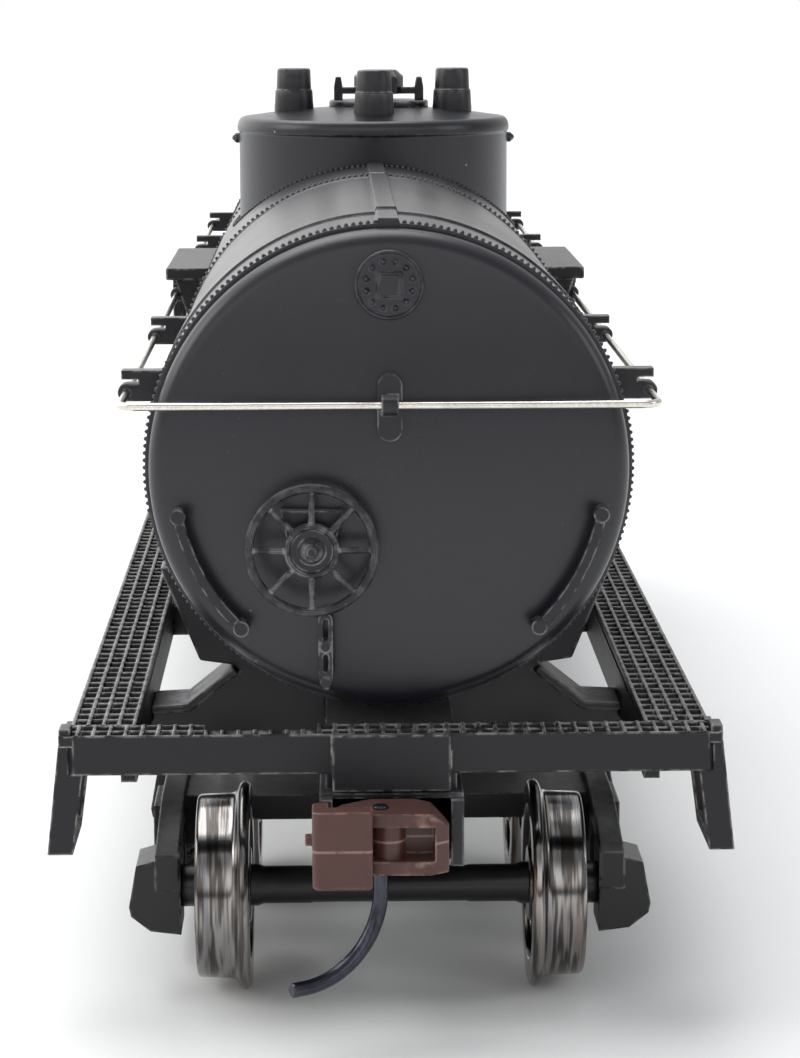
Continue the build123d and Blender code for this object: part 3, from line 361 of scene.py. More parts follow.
def tube(path, radius, sides=20, ends=True):
    # a circle carried along the path square to it; each ring's frame is the last one leaned over by the turn,
    # and the ends are rounded off by rings that shrink as a quarter circle
    path = np.asarray(path, float)
    radii = np.broadcast_to(np.asarray(radius, float), len(path)).copy()
    if ends:
        lean = np.linspace(0, pi / 2, 5)[:-1]
        for side in (0, -1):
            out = path[side] - path[1 if side == 0 else -2]
            out /= np.linalg.norm(out)
            caps = path[side] + out * (radii[side] * (np.sin(lean)[1:, None] - 1))
            ring = radii[side] * np.cos(lean)[1:]
            tip = path[side][None]
            if side == 0:
                path = np.concatenate([tip, caps[::-1], path[:1] - out * radii[0], path[1:]])
                radii = np.concatenate([[0.0], ring[::-1], [radii[0]], radii[1:]])
            else:
                path = np.concatenate([path[:-1], path[-1:] - out * radii[-1], caps, tip])
                radii = np.concatenate([radii[:-1], [radii[-1]], ring, [0.0]])
    tangent = np.gradient(path, axis=0)
    tangent /= np.linalg.norm(tangent, axis=1)[:, None]
    guide = np.array([0.0, 0, 1]) if abs(tangent[0, 2]) < 0.9 else np.array([1.0, 0, 0])
    side = np.cross(tangent[0], guide)
    sidesList = []
    for forward in tangent:
        side = side - forward * side.dot(forward)
        side = side / np.linalg.norm(side)
        sidesList.append(side)
    across = np.array(sidesList)
    over = np.cross(tangent, across)
    turn = np.arange(sides) * 2 * pi / sides
    ringed = across[:, None] * np.cos(turn)[None, :, None] + over[:, None] * np.sin(turn)[None, :, None]
    points = path[:, None] + ringed * radii[:, None, None]
    faces = gridFaces(len(path), sides, closeColumns=True).tolist()
    if not ends:
        faces += [list(range(sides)), list(range((len(path) - 1) * sides, len(path) * sides))]
    return points.reshape(-1, 3), faces


def studs(places, normals, radius, height, sides=8):
    # one low dome at each place: rings at 0, 55 and 100 percent of the height, whose radii follow an ellipse,
    # with a flat base sunk a little way into the surface
    places, normals = np.asarray(places, float), np.asarray(normals, float)
    helper = np.where(np.abs(normals[:, 1:2]) < 0.9, [[0.0, 1, 0]], [[1.0, 0, 0]])
    first = np.cross(helper, normals)
    first /= np.linalg.norm(first, axis=1)[:, None]
    second = np.cross(normals, first)
    rings = np.array([(-0.4, 1.0), (0.15, 1.0), (0.72, 0.66)])
    turn = np.arange(sides) * 2 * pi / sides
    flat = first[:, None, None] * np.cos(turn)[None, None, :, None] + second[:, None, None] * np.sin(turn)[None, None, :, None]
    body = (places[:, None, None] + normals[:, None, None] * (rings[:, 0] * height)[None, :, None, None]
            + flat * (rings[:, 1] * radius)[None, :, None, None])
    count = len(places)
    body = body.reshape(count, -1, 3)
    top = (places + normals * height)[:, None]
    points = np.concatenate([body, top], 1)
    one = gridFaces(3, sides, closeColumns=True).tolist()
    last = 2 * sides
    one += [[last + n, last + (n + 1) % sides, 3 * sides] for n in range(sides)] + [list(range(sides))]
    stride = 3 * sides + 1
    faces = [[n * stride + corner for corner in face] for n in range(count) for face in one]
    return points.reshape(-1, 3), faces


def reliefPlate(xLines, yLines, heights, bottom, solid):
    # a plate whose top is a height for each crossing of the lines, with a flat bottom, made only where the
    # cell between four crossings is solid; a wall closes it wherever a solid cell meets an empty one
    nx, ny = len(xLines), len(yLines)
    gridX, gridY = np.meshgrid(xLines, yLines, indexing="ij")
    top = np.stack([gridX, gridY, heights], 2).reshape(-1, 3)
    base = np.stack([gridX, gridY, np.full_like(gridX, bottom)], 2).reshape(-1, 3)
    number = np.arange(nx * ny).reshape(nx, ny)
    cell = np.stack([number[:-1, :-1], number[1:, :-1], number[1:, 1:], number[:-1, 1:]], 2)
    faces = cell[solid].tolist() + (cell[solid][:, ::-1] + nx * ny).tolist()
    around = np.pad(solid, 1)
    for axis, shift in ((0, -1), (0, 1), (1, -1), (1, 1)):
        beside = np.roll(around, -shift, axis)[1:-1, 1:-1]
        i, j = np.nonzero(solid & ~beside)
        if axis == 0:
            edge = number[i + (shift > 0), j], number[i + (shift > 0), j + 1]
        else:
            edge = number[i, j + (shift > 0)], number[i + 1, j + (shift > 0)]
        faces += np.stack([edge[0], edge[1], edge[1] + nx * ny, edge[0] + nx * ny], 1).tolist()
    used = np.unique(np.concatenate([np.ravel(face) for face in faces]))
    renumber = np.zeros(2 * nx * ny, int)
    renumber[used] = np.arange(len(used))
    return np.concatenate([top, base])[used], [renumber[face].tolist() for face in faces]


def carried(outline, stops, axis):
    # a closed outline of (a, b) points carried straight along an axis, stop by stop, with both ends closed
    outline = np.asarray(outline, float)
    rows = [np.insert(outline, {"x": 0, "y": 1, "z": 2}[axis], stop, axis=1) for stop in stops]
    count = len(outline)
    faces = gridFaces(len(stops), count, closeColumns=True).tolist()
    faces += [list(range(count)), list(range((len(stops) - 1) * count, len(stops) * count))]
    return np.concatenate(rows), faces


def softened(node, width, angle=38):
    # the node's own surface with its corners rounded: a merged copy, its flat faces made whole, and a bevel
    source = frame["nodes"][node]
    mesh = source.data.copy()
    shaped = bmesh.new()
    shaped.from_mesh(mesh)
    bmesh.ops.remove_doubles(shaped, verts=shaped.verts, dist=2e-7)
    bmesh.ops.dissolve_limit(shaped, angle_limit=radians(1.0), verts=shaped.verts, edges=shaped.edges)
    shaped.to_mesh(mesh)
    shaped.free()
    if mesh.has_custom_normals:
        mesh.attributes.remove(mesh.attributes["custom_normal"])
    mesh.polygons.foreach_set("use_smooth", np.ones(len(mesh.polygons), bool))
    mesh.set_sharp_from_angle(angle=radians(angle))
    mesh.materials.clear()
    mesh.materials.append(finishes[slotOf[node]])
    piece = bpy.data.objects.new(node + "_soft", mesh)
    bpy.context.scene.collection.objects.link(piece)
    rounding = piece.modifiers.new("rounding", "BEVEL")
    rounding.width, rounding.segments, rounding.limit_method = width * mm, 2, "ANGLE"
    rounding.angle_limit = radians(angle)
    rounding.harden_normals = True
    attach(piece, frame["nodes"][node]["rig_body"])
    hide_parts(node)
    return piece


def turnedRound(points):    # the same shape at the wagon's other end
    return np.asarray(points) * (-1, -1, 1)


def bothEnds(shell):
    return (("front", shell), ("rear", (turnedRound(shell[0]), shell[1])))


# ---- tank

tank = {"middle": 28.0, "radius": 12.3, "course": 12.36, "courseHalf": 20.2, "half": 57.6, "wall": 0.8,
        "bandFrom": 48.3, "bandTo": 51.2, "bandHeight": 0.13, "around": 288,
        "strapHalf": 0.55, "strapHeight": 0.14, "ribAt": 0.42, "ribHalf": 0.08, "ribHeight": 0.26, "strapFrom": 9.2}


def barrel():
    # radius at (y, angle): the course's, plus the band's height between its edges, plus the crown strap and its two
    # ribs where the sideways distance from the crown is under their half widths
    lap = 0.05
    steps = [(-tank["half"], tank["radius"]), (-tank["bandTo"], tank["radius"])]
    steps += [(-tank["bandTo"] + lap, tank["radius"] + tank["bandHeight"])]
    steps += [(-tank["bandFrom"] - lap, tank["radius"] + tank["bandHeight"]), (-tank["bandFrom"], tank["radius"])]
    steps += [(-tank["courseHalf"], tank["radius"]), (-tank["courseHalf"] + lap, tank["course"])]
    steps += [(-tank["strapFrom"], tank["course"]), (-tank["strapFrom"] + lap, tank["course"])]
    steps += [(-y, radius) for y, radius in reversed(steps)]
    inner = tank["radius"] - tank["wall"]
    steps += [(tank["half"], inner), (-tank["half"], inner), steps[0]]
    y, radius = np.array(steps).T
    edge = 0.03
    marks = []
    for at in (tank["strapHalf"], tank["ribAt"] - tank["ribHalf"], tank["ribAt"] + tank["ribHalf"]):
        marks += [at, at + edge, -at, -at - edge]
    turn = np.linspace(0, 2 * pi, tank["around"], endpoint=False)
    marks = pi / 2 + np.arcsin(np.array(marks) / tank["radius"])
    turn = np.sort(np.concatenate([turn[np.abs(turn - pi / 2) > 0.06], marks]))
    aside = np.abs(np.cos(turn)) * tank["radius"]
    top = np.sin(turn) > 0
    strap = np.where(top & (aside <= tank["strapHalf"] + 0.01), tank["strapHeight"], 0.0)
    rib = top & (np.abs(aside - tank["ribAt"]) <= tank["ribHalf"] + 0.01)
    rise = np.where(rib, tank["ribHeight"], strap)
    outer = (radius > inner + 0.1) & (np.abs(y) >= tank["strapFrom"] - 0.01)
    reach = radius[:, None] + rise[None, :] * outer[:, None]
    points = np.stack([reach * np.cos(turn), np.repeat(y[:, None], len(turn), 1),
                       tank["middle"] + reach * np.sin(turn)], 2)
    return points[:-1].reshape(-1, 3), gridFaces(len(y) - 1, len(turn), True, True).tolist()


addPiece("tank_barrel", barrel(), "wagon", "tank_plastic", replaced=["tank_shell"])

head = {"rim": 12.08, "rimLength": 0.55, "shoulder": 1.0, "lean": 11.2, "plug": 2.5, "around": 192, "rings": 42}
headY = tank["half"] + head["rimLength"] + head["shoulder"] * cos(radians(head["lean"]))
dishEdge = head["rim"] - head["shoulder"] * (1 - sin(radians(head["lean"])))
dishRadius = dishEdge / sin(radians(head["lean"]))


def dishY(distance):
    # how far out the head's dished face stands: a sphere's surface over the distance from the tank's axis
    return headY + np.sqrt(dishRadius**2 - distance**2) - dishRadius * cos(radians(head["lean"]))


def tankHead():
    # from the middle out: the dish, the shoulder's arc down to the rim, and back into the barrel to a flat plug
    out = np.linspace(0, dishEdge, head["rings"])
    dish = np.stack([-dishY(out), out], 1)
    middle = (-(tank["half"] + head["rimLength"]), head["rim"] - head["shoulder"])
    shoulder = arc(middle, head["shoulder"], 180 - head["lean"], 90, 12)[1:]
    inside = tank["radius"] - tank["wall"] - 0.02
    back = [(-tank["half"] - 0.02, head["rim"]), (-tank["half"] - 0.02, inside),
            (-tank["half"] + head["plug"], inside), (-tank["half"] + head["plug"], 0)]
    return lathe(np.concatenate([dish, shoulder, back]), head["around"], (0, 0, tank["middle"]), "y")


for end, shell in bothEnds(tankHead()):
    addPiece("tank_head_" + end + "_dished", shell, "wagon", "tank_plastic", replaced=["tank_head_" + end])

dome = {"radius": 9.15, "lip": 9.28, "shoulder": 42.35, "lipHeight": 0.25, "capEdge": 8.6, "capZ": 43.28,
        "top": 43.95, "foot": 36.5, "around": 160, "nubZ": 41.8}


def domeShell():
    # up the wall to the lip, over a rounded edge and along a shallow sphere to the crown
    rise = dome["top"] - dome["capZ"]
    sphere = (dome["capEdge"] ** 2 + rise**2) / (2 * rise)
    rounding = np.linspace(0, 1, 10)[1:, None]
    start = np.array([dome["shoulder"] + dome["lipHeight"], dome["lip"]])
    corner = np.array([dome["capZ"] + 0.02, dome["lip"] - 0.06])
    stop = np.array([dome["capZ"], dome["capEdge"]])
    edge = (1 - rounding) ** 2 * start + 2 * rounding * (1 - rounding) * corner + rounding**2 * stop
    out = np.linspace(dome["capEdge"], 0, 24)[1:]
    cap = np.stack([dome["top"] - sphere + np.sqrt(sphere**2 - out**2), out], 1)
    wall = [(dome["foot"], 0), (dome["foot"], dome["radius"]), (dome["shoulder"] - 0.12, dome["radius"]),
            (dome["shoulder"], dome["lip"]), tuple(start)]
    return lathe(np.concatenate([wall, edge, cap]), dome["around"], (0, 0, 0), "z")


def nub(side):    # a small peg on the dome's side, pointing outwards
    reach = dome["radius"] - 0.1
    profile = [(0, 0), (0, 0.34), (0.34, 0.34), (0.42, 0.26), (0.56, 0.14), (0.62, 0)]
    return lathe([(side * (reach + along), radius) for along, radius in profile], 16, (0, 0, dome["nubZ"]), "x")


addPiece("dome_smooth", joined([domeShell(), nub(-1), nub(1)]), "wagon", "tank_plastic", replaced=["dome"])

valve = {"spots": ((-5.4, 0.0), (5.4, 0.0), (0.0, -5.4)), "foot": 1.34, "collar": 1.27, "collarTop": 45.05,
         "top": 46.5, "low": 1.18, "high": 1.13}
valveProfile = [(dome["top"] - 1.0, 0), (dome["top"] - 1.0, valve["foot"]), (dome["top"] - 0.1, valve["foot"]),
                (dome["top"] + 0.25, valve["foot"] - 0.03), (valve["collarTop"] - 0.1, valve["collar"]),
                (valve["collarTop"] - 0.02, valve["collar"] - 0.03), (valve["collarTop"] + 0.03, valve["low"] + 0.01),
                (valve["collarTop"] + 0.12, valve["low"]), (valve["top"] - 0.16, valve["high"]),
                (valve["top"] - 0.05, valve["high"] - 0.04), (valve["top"], valve["high"] - 0.15),
                (valve["top"] - 0.03, 0.55), (valve["top"] - 0.03, 0)]
addPiece("dome_valves_turned", joined([lathe(valveProfile, 40, (x, y, 0), "z") for x, y in valve["spots"]]),
         "wagon", "body_plastic", replaced=["dome_valves"])

rivet = {"radius": 0.125, "height": 0.17, "pitch": 0.366, "endAt": 57.1, "lapAt": 19.5, "domeOut": 0.42, "foot": 0.36}


def ringOfRivets(y, radius, count, skip=0.0):
    # evenly round the tank at one y, pointing away from the axis, leaving out a stretch each side of the crown
    turn = np.arange(count) * 2 * pi / count + pi / count
    keep = np.abs(np.arctan2(np.cos(turn), np.sin(turn))) * radius > skip
    turn = turn[keep]
    out = np.stack([np.cos(turn), np.zeros_like(turn), np.sin(turn)], 1)
    return out * radius + (0, y, tank["middle"]), out


def domeRivets():
    # round the dome's foot, on the barrel: the barrel's height at each x, pointing away from the tank's axis
    reach = dome["radius"] + rivet["domeOut"]
    count = int(2 * pi * reach / rivet["pitch"])
    turn = np.arange(count) * 2 * pi / count
    x, y = reach * np.cos(turn), reach * np.sin(turn)
    out = np.stack([x, np.zeros_like(x), np.sqrt(tank["course"] ** 2 - x**2)], 1) / tank["course"]
    return out * tank["course"] + np.stack([np.zeros_like(y), y, np.full_like(y, tank["middle"])], 1), out


ringCount = int(2 * pi * tank["radius"] / rivet["pitch"])
rivetRows = [ringOfRivets(side * y, radius, ringCount, skip)
             for side in (-1, 1)
             for y, radius, skip in ((rivet["endAt"], tank["radius"], 0.6), (rivet["lapAt"], tank["course"], 0.6))]
rivetRows += [domeRivets()]
addPiece("tank_rivets", joined([studs(spots, outs, rivet["radius"], rivet["height"]) for spots, outs in rivetRows]),
         "wagon", "tank_plastic")

plate = {"above": 9.45, "radius": 1.72, "rimWide": 0.15, "rimHeight": 0.10, "thick": 0.42, "bolts": 12, "circle": 1.18,
         "bolt": 0.15, "boltHeight": 0.2, "pad": 0.62, "plug": 0.46, "plugHeight": 0.5}


def inspectionPlate():
    # a disc with a raised rim, bolts round a circle on it, and a square plug on a square pad
    face = -(float(dishY(plate["above"])) + plate["thick"])
    z = tank["middle"] + plate["above"]
    radius, rim = plate["radius"], plate["rimHeight"]
    disc = [(face + 0.9, 0), (face + 0.9, radius), (face - rim + 0.07, radius), (face - rim, radius - 0.05),
            (face - rim, radius - plate["rimWide"] + 0.04), (face - rim + 0.05, radius - plate["rimWide"]),
            (face, radius - plate["rimWide"] - 0.03), (face, 0)]
    turn = (np.arange(plate["bolts"]) + 0.5) * 2 * pi / plate["bolts"]
    spots = np.stack([plate["circle"] * np.cos(turn), np.full_like(turn, face),
                      z + plate["circle"] * np.sin(turn)], 1)
    bolts = studs(spots, np.tile([0.0, -1, 0], (len(turn), 1)), plate["bolt"], plate["boltHeight"])
    shells = [lathe(disc, 64, (0, 0, z), "y"), bolts]
    for half, depth in ((plate["pad"], 0.1), (plate["plug"], plate["plugHeight"])):
        square = [(-half, z - half), (half, z - half), (half, z + half), (-half, z + half)]
        shells.append(carried(square, (face - depth, face + 0.2), "y"))
    return joined(shells)


for end, shell in bothEnds(inspectionPlate()):
    addPiece("inspection_plate_" + end, shell, "wagon", "body_plastic", finishes["tank_plastic"],
             replaced=["inspection_plates"], bevel=0.035)
print("stage: tank made")

# ---- handrails and trip pins

rail = {"x": 13.3, "y": 60.9, "z": 31.6, "end": 4.2, "bend": 0.9, "wire": 0.2}


def railPath():
    # straight along the side, a quarter circle round each corner, straight across the head
    x, y, z, bend = rail["x"], rail["y"], rail["z"], rail["bend"]
    left = arc((-x + bend, -y + bend), bend, 180, 270, 10)
    right = arc((x - bend, -y + bend), bend, 270, 360, 10)
    run = np.linspace(-rail["end"], -y + bend, 12)[:-1]
    cross = np.linspace(-x + bend, x - bend, 12)[1:-1]
    flat = np.concatenate([np.stack([np.full_like(run, -x), run], 1), left,
                           np.stack([cross, np.full_like(cross, -y)], 1), right,
                           np.stack([np.full_like(run, x), run], 1)[::-1]])
    return np.insert(flat, 2, z, axis=1)


for end, shell in bothEnds(tube(railPath(), rail["wire"], 24)):
    addPiece("handrail_" + end + "_wire", shell, "wagon", "handrail_wire", replaced=["handrail_" + end])

trip = {"x": -0.6, "y": -64.4, "top": 12.3, "low": 3.6, "reach": 5.0, "bend": 4.4, "heading": 208.0, "radius": 0.38}


def tripPath():
    # down from the head, a quarter circle, and a short run out along the heading
    bend, low = trip["bend"], trip["low"]
    quarter = arc((bend, low + bend), bend, 180, 270, 28)
    down = np.stack([np.zeros(8), np.linspace(trip["top"], low + bend, 9)[:-1]], 1)
    out = np.array([[trip["reach"] * 0.96, low], [trip["reach"], low]])
    side = np.concatenate([down, quarter, out])
    turn = radians(trip["heading"])
    return np.stack([trip["x"] + side[:, 0] * cos(turn), trip["y"] + side[:, 0] * sin(turn), side[:, 1]], 1)


def tripPin():
    # the wire keeps its thickness, with a small chamfer at each cut end
    path = tripPath()
    radii = np.full(len(path), trip["radius"])
    first, last = path[0] - path[1], path[-1] - path[-2]
    lead = 0.07
    path = np.concatenate([path[:1], path[:1] - first / np.linalg.norm(first) * lead, path[1:-1],
                           path[-1:] - last / np.linalg.norm(last) * lead, path[-1:]])
    radii = np.concatenate([[radii[0] * 0.82], radii[:-1], [radii[0]], [radii[0] * 0.82]])
    return tube(path, radii, 28, ends=False)


for end, shell in bothEnds(tripPin()):
    addPiece("trip_pin_" + end + "_wire", shell, "coupler_" + end, "blued_steel", replaced=["trip_pin_" + end])

# ---- hand brake wheel

brake = {"x": -3.9, "y": -61.55, "z": 24.5, "radius": 3.35, "rim": 0.24, "hub": 1.38, "hubThick": 0.5,
         "spokes": 8, "spokeWide": 0.19, "peg": 0.35, "pegBack": -60.3, "pegFront": -62.25}


def brakeWheel():
    # a round rim, spokes that swell towards the hub, a dished hub disc and the peg through it
    middle = (brake["x"], brake["y"], brake["z"])
    ring = arc((0, brake["radius"] - brake["rim"]), brake["rim"], 0, 360, 17)
    shells = [lathe(ring, 96, middle, "y")]
    half, hub, peg = brake["hubThick"] / 2, brake["hub"], brake["peg"]
    front = brake["pegFront"] - brake["y"]
    disc = [(half, 0), (half, hub - 0.1), (half - 0.08, hub), (-half + 0.08, hub), (-half, hub - 0.08),
            (-half, hub - 0.22), (-half + 0.1, hub - 0.34), (-half + 0.12, peg + 0.35), (-half - 0.1, peg + 0.12),
            (-half - 0.14, peg), (front + 0.12, peg), (front, peg - 0.12), (front, 0)]
    shells.append(lathe(disc, 48, middle, "y"))
    back = brake["pegBack"] - brake["y"]
    shells.append(lathe([(half - 0.1, 0), (half - 0.1, peg), (back, peg), (back, 0)], 24, middle, "y"))
    for n in range(brake["spokes"]):
        turn = 2 * pi * n / brake["spokes"]
        out = np.linspace(hub - 0.2, brake["radius"] - brake["rim"], 8)
        path = np.stack([middle[0] + out * cos(turn), np.full(8, middle[1]), middle[2] + out * sin(turn)], 1)
        shells.append(tube(path, np.linspace(brake["spokeWide"], 0.13, 8), 10, ends=False))
    return joined(shells)


addPiece("brake_wheel_round", brakeWheel(), "brake_wheel", "body_plastic", replaced=["brake_wheel"])
print("stage: rails, pins and brake wheel made")

# ---- wheelsets

wheel = {"axleZ": 5.44, "around": 144, "axleRadius": 1.1, "point": 12.85, "slope": 0.5636}
wheelProfile = [(7.25, 1.0), (7.25, 1.85), (7.32, 1.95), (7.62, 2.05), (7.75, 2.25), (7.75, 3.75), (7.62, 3.98),
                (7.36, 4.08), (7.28, 4.16), (7.25, 4.3), (7.25, 5.15), (7.28, 5.28), (7.38, 5.38), (7.52, 5.43),
                (7.66, 5.43), (7.78, 5.36), (7.88, 5.22), (7.96, 5.04), (8.04, 4.93), (8.16, 4.87), (8.32, 4.84),
                (9.82, 4.78), (9.94, 4.75), (10.02, 4.68), (10.05, 4.58), (10.05, 4.12), (10.0, 4.04), (9.5, 3.94),
                (9.32, 3.84), (9.24, 3.6), (9.1, 2.5), (9.14, 2.28), (9.3, 2.12), (9.75, 1.92), (9.95, 1.85),
                (10.07, 1.72), (10.1, 1.55), (10.1, 1.0), (7.25, 1.0)]


def wheelset(y):
    # both wheels from one profile, mirrored across the wagon
    middle = (0, y, wheel["axleZ"])
    return joined([lathe([(side * along, radius) for along, radius in wheelProfile], wheel["around"], middle, "x")
                   for side in (-1, 1)])


def axle(y):
    # a plain bar with a needle point at each end, where a cone runs down to the tip
    cone = wheel["point"] - wheel["axleRadius"] / wheel["slope"]
    half = [(wheel["point"] - 0.03, 0), (wheel["point"] - 0.06, 0.03), (cone, wheel["axleRadius"] - 0.02),
            (cone - 0.06, wheel["axleRadius"]), (6.9, wheel["axleRadius"]), (6.6, 0.98), (4.2, 0.98), (4.0, 0.94)]
    profile = half + [(-along, radius) for along, radius in reversed(half)]
    return lathe(profile, 40, (0, y, wheel["axleZ"]), "x")


for number in (1, 2, 3, 4):
    low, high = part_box("axle_" + str(number))
    y = (low.y + high.y) / 2 / mm
    body = "wheelset_" + str(number)
    metal = turnedWheel("wheel_metal_" + str(number), y, wheel["axleZ"])
    addPiece("wheels_" + str(number) + "_turned", wheelset(y), body, "wheel_metal", metal,
             replaced=["wheels_" + str(number)])
    addPiece("axle_" + str(number) + "_turned", axle(y), body, "axle_plastic", replaced=["axle_" + str(number)])
print("stage: wheelsets made")

# ---- grated decks

deck = {"top": 15.3, "inner": 12.85, "outer": 16.1, "half": 59.7, "lowest": 12.3, "thick": 0.6, "lip": 0.6,
        "lipDrop": 0.7, "web": 0.8, "cells": 4, "pitch": 1.19, "bar": 0.085, "slope": 0.045, "depth": 0.34,
        "cross": 0.05, "front": 62.0, "corner": 16.55, "sillHalf": 15.9, "sillBottom": 13.25,
        "notchFrom": -9.4, "notchTo": -3.7, "endCells": 41, "notchY": -60.9}


def barLines(start, stop, cells):
    # the places where a bar's slope and flat top begin and end, for every bar between start and stop
    centres = np.linspace(start + deck["bar"], stop - deck["bar"], cells + 1)
    half, slope = deck["bar"], deck["slope"]
    lines = (centres[:, None] + np.array([-half - slope, -half, half, half + slope])).ravel()
    onBar = np.tile([0.0, 1, 1, 0], cells + 1)
    return lines[1:-1], onBar[1:-1]


def grating(xSpan, ySpan, xCells, yCells, bottom, solid=None):
    # the top is full height on a lengthwise bar, a little lower on a cross bar, and sunk in the cells between
    xLines, onX = barLines(*xSpan, xCells)
    yLines, onY = barLines(*ySpan, yCells)
    rise = np.maximum(onX[:, None] * deck["depth"], onY[None, :] * (deck["depth"] - deck["cross"]))
    heights = deck["top"] - deck["depth"] + rise
    whole = np.ones((len(xLines) - 1, len(yLines) - 1), bool)
    if solid is not None:
        middleX, middleY = (xLines[1:] + xLines[:-1]) / 2, (yLines[1:] + yLines[:-1]) / 2
        whole = solid(middleX[:, None], middleY[None, :])
    return reliefPlate(xLines, yLines, heights, bottom, whole)


def runningBoard(side):
    # the grated deck, with the side sill's web and outer lip carried along under it
    span = sorted((side * deck["inner"], side * deck["outer"]))
    under = deck["top"] - deck["thick"]
    shells = [grating(span, (-deck["half"], deck["half"]), deck["cells"], round(2 * deck["half"] / deck["pitch"]), under)]
    inner, outer, web, lip = deck["inner"], deck["outer"], deck["web"], deck["lip"]
    for first, second, foot in ((inner, inner + web, deck["lowest"]), (outer - lip, outer, under - deck["lipDrop"])):
        outline = [(side * first, foot), (side * second, foot), (side * second, under + 0.2), (side * first, under + 0.2)]
        shells.append(carried(outline, (-deck["half"], deck["half"]), "y"))
    return joined(shells)


addPiece("running_board_right_grated", runningBoard(1), "wagon", "board_plastic", replaced=["running_board_right"])
addPiece("running_board_left_grated", runningBoard(-1), "wagon", "board_plastic", replaced=["running_board_left"])


def endPlatform():
    # the grated plate with its gap for the brake chain
    def solid(x, y):
        return ~((x > deck["notchFrom"]) & (x < deck["notchTo"]) & (y > deck["notchY"]))
    return grating((-deck["corner"], deck["corner"]), (-deck["front"], -deck["half"]), deck["endCells"], 2,
                   deck["top"] - deck["thick"], solid)


striker = {"half": 2.95, "bottom": 12.4, "proud": 0.35}


def sillFace():
    # the sill's smooth front, thin at its top where the grating starts; its section is carried across the wagon
    front, back = -deck["front"] - 0.02, -deck["front"] + deck["web"]
    thin = -deck["front"] + 0.14
    section = [(front, deck["sillBottom"]), (front, deck["top"]), (thin, deck["top"]),
               (thin, deck["top"] - deck["thick"]), (back, deck["top"] - deck["thick"]), (back, deck["sillBottom"])]
    return carried(section, (-deck["sillHalf"], deck["sillHalf"]), "x")


def cornerBlocks():
    # a low block on each outer corner of the platform, behind the sill's end
    shells = []
    for side in (-1, 1):
        outline = [(side * x, z) for x, z in ((15.95, 15.0), (16.55, 15.0), (16.55, 15.62), (15.95, 15.62))]
        shells.append(carried(outline, (-deck["front"] + 0.1, -deck["front"] + 1.35), "y"))
    return joined(shells)


def strikerPlate():
    # a flat plate standing proud of the sill's face and reaching below it
    front, back = -deck["front"] - striker["proud"], -deck["front"] + deck["web"]
    section = [(front, striker["bottom"]), (front, deck["top"]), (-deck["front"] + 0.1, deck["top"]),
               (-deck["front"] + 0.1, deck["sillBottom"]), (back, deck["sillBottom"] - 0.05), (back, striker["bottom"])]
    return carried(section, (-striker["half"], striker["half"]), "x")


for end, shell in bothEnds(endPlatform()):
    addPiece("end_platform_" + end, shell, "wagon", "board_plastic", replaced=["end_sill_" + end])
for end, shell in bothEnds(joined([sillFace(), strikerPlate(), cornerBlocks()])):
    addPiece("end_sill_" + end + "_face", shell, "wagon", "board_plastic", bevel=0.1)
print("stage: decks made")

# ---- the rest of the frame's own shapes, with their corners rounded

rounded = {"coupler_head": 0.2, "knuckle": 0.28, "coupler_box": 0.1, "coupler_lid": 0.1, "bogie_frame": 0.12,
           "bolster": 0.12, "platform": 0.12, "ladder": 0.05, "corner_steps": 0.12, "brake_bracket": 0.06,
           "brake_chain": 0.05, "handrail_brackets": 0.06, "end_stanchions": 0.06, "grab_irons": 0.06,
           "centre_sill": 0.06, "manway_yoke": 0.05, "brake_cylinder": 0.05,
           "brake_rigging": 0.04, "bottom_outlet": 0.06, "coupler_screws": 0.04, "bogie_screws": 0.06}
for node in sorted(frame["nodes"]):
    shape = frame["nodes"][node]
    if shape.hide_render:
        continue
    kind = next((name for name in rounded if node.startswith(name)), None)
    if kind:
        softened(node, rounded[kind])
    else:
        for index in range(len(shape.material_slots)):
            shape.material_slots[index].material = finishes[slotOf[node]]
print("stage: corners rounded")

# ---- floor, light and camera

studio = {"floor": (0.86, 0.86, 0.855), "floorHalf": 9000.0, "back": 1.6, "front": 0.07, "above": 0.5, "band": 1.5, "sun": 1.7}


def floor():
    mesh = bpy.data.meshes.new("floor")
    half = studio["floorHalf"] * mm
    mesh.from_pydata([(-half, -half, 0), (half, -half, 0), (half, half, 0), (-half, half, 0)], [], [(0, 1, 2, 3)])
    plane = bpy.data.objects.new("floor", mesh)
    bpy.context.scene.collection.objects.link(plane)
    material = bpy.data.materials.new("floor_paper")
    sheet = Sheet(material)
    tooth = sheet.noise(sheet.place(), 2.0, 3.0)
    colour = sheet.mix(tooth * 0.3, studio["floor"], (0.82, 0.82, 0.815))
    sheet.finish({"Base Color": colour, "Roughness": 0.9, "Specular IOR Level": 0.1})
    mesh.materials.append(material)


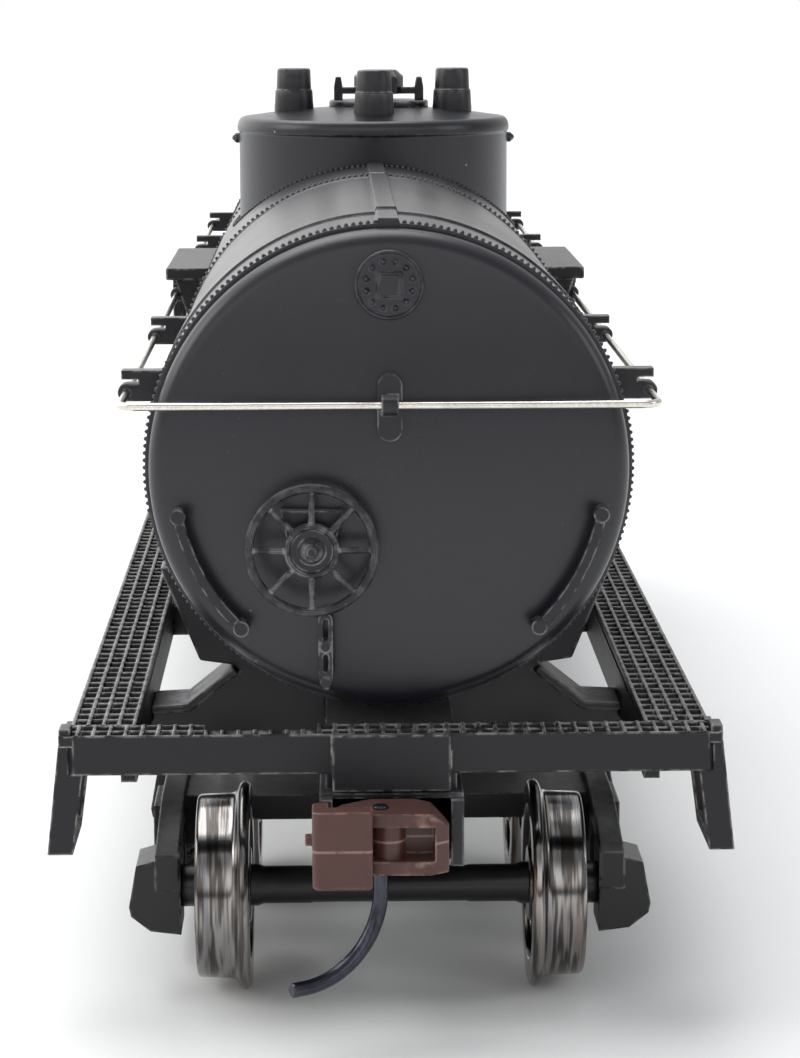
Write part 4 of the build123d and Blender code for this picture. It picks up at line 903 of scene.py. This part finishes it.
def surroundings():
    # brightness by direction: full behind the wagon, low behind the camera, and in between overhead;
    # seen directly it is plain white
    world = bpy.data.worlds.new("studio")
    bpy.context.scene.world = world
    sheet = Sheet(world)
    parts = sheet.node("ShaderNodeSeparateXYZ", None, [sheet.node("ShaderNodeTexCoord")])
    x, y, z = [Signal(sheet, parts.link.node.outputs[n]) for n in range(3)]
    level = studio["front"] + y.between(-0.35, 0.75) * (studio["back"] - studio["front"])
    level = level * (1 - x.between(-0.45, 0.45) * 0.6)
    level = level + z.between(0.06, 0.26) * (1 - z.between(0.4, 0.7)) * (1 - y.between(-0.9, -0.3)) * studio["band"]
    level = level + z.between(0.25, 1.0) * (1 - y.between(0.0, 0.9)) * studio["above"]
    level = level + (1 - x.between(-0.9, -0.1)) * 0.35
    tint = sheet.mix(z.between(0.0, 0.9), (1.0, 0.99, 0.975), (0.93, 0.965, 1.0))
    lit = sheet.node("ShaderNodeBackground", None, {"Color": tint, "Strength": level})
    plain = sheet.node("ShaderNodeBackground", None, {"Color": (1, 1, 1, 1), "Strength": 1.0})
    seen = sheet.node("ShaderNodeLightPath")
    both = sheet.node("ShaderNodeMixShader", None, [seen, lit, plain])
    sheet.node("ShaderNodeOutputWorld", None, {"Surface": both})


def softbox(name, place, aim, size, power, colour=(1, 1, 1)):
    lamp = bpy.data.lights.new(name, "AREA")
    lamp.shape, lamp.size, lamp.size_y = "RECTANGLE", size[0] * mm, size[1] * mm
    lamp.energy, lamp.color = power, colour
    box = bpy.data.objects.new(name, lamp)
    bpy.context.scene.collection.objects.link(box)
    box.location = [value * mm for value in place]
    toward = Matrix.Translation(box.location).to_translation() * -1
    toward += Matrix.Translation([value * mm for value in aim]).to_translation()
    box.rotation_mode = "QUATERNION"
    box.rotation_quaternion = toward.to_track_quat("-Z", "Y")


def overhead():    # one broad even light from above and behind, for the floor and the tank's crown
    lamp = bpy.data.lights.new("overhead", "SUN")
    lamp.energy, lamp.angle = studio["sun"], radians(50)
    sun = bpy.data.objects.new("overhead", lamp)
    bpy.context.scene.collection.objects.link(sun)
    sun.matrix_world = Matrix.Rotation(radians(-18), 4, "X") @ Matrix.Rotation(radians(-10), 4, "Y")


viewpoint = {"place": (-2.62, -207.09, 51.67), "right": 1.2126, "down": 10.170, "roll": -0.158,
             "lens": 102.08, "sensor": 36.0}


def camera():
    lens = bpy.data.cameras.new("camera")
    lens.lens, lens.sensor_width, lens.sensor_fit = viewpoint["lens"], viewpoint["sensor"], "AUTO"
    lens.clip_start, lens.clip_end = 0.005, 20.0
    eye = bpy.data.objects.new("camera", lens)
    bpy.context.scene.collection.objects.link(eye)
    heading = Matrix.Rotation(-radians(viewpoint["right"]), 4, "Z")
    dip = Matrix.Rotation(pi / 2 - radians(viewpoint["down"]), 4, "X")
    eye.matrix_world = (Matrix.Translation([value * mm for value in viewpoint["place"]]) @ heading @ dip
                        @ Matrix.Rotation(radians(viewpoint["roll"]), 4, "Z"))
    bpy.context.scene.camera = eye


floor()
surroundings()
overhead()
softbox("left_light", (-330, -60, 200), (0, -40, 25), (180, 180), 0.35, (1.0, 0.98, 0.95))
softbox("right_light", (320, -120, 160), (0, -50, 25), (140, 140), 0.16, (0.95, 0.97, 1.0))
camera()
bpy.context.scene.view_settings.view_transform = "Standard"
print("stage: studio ready")
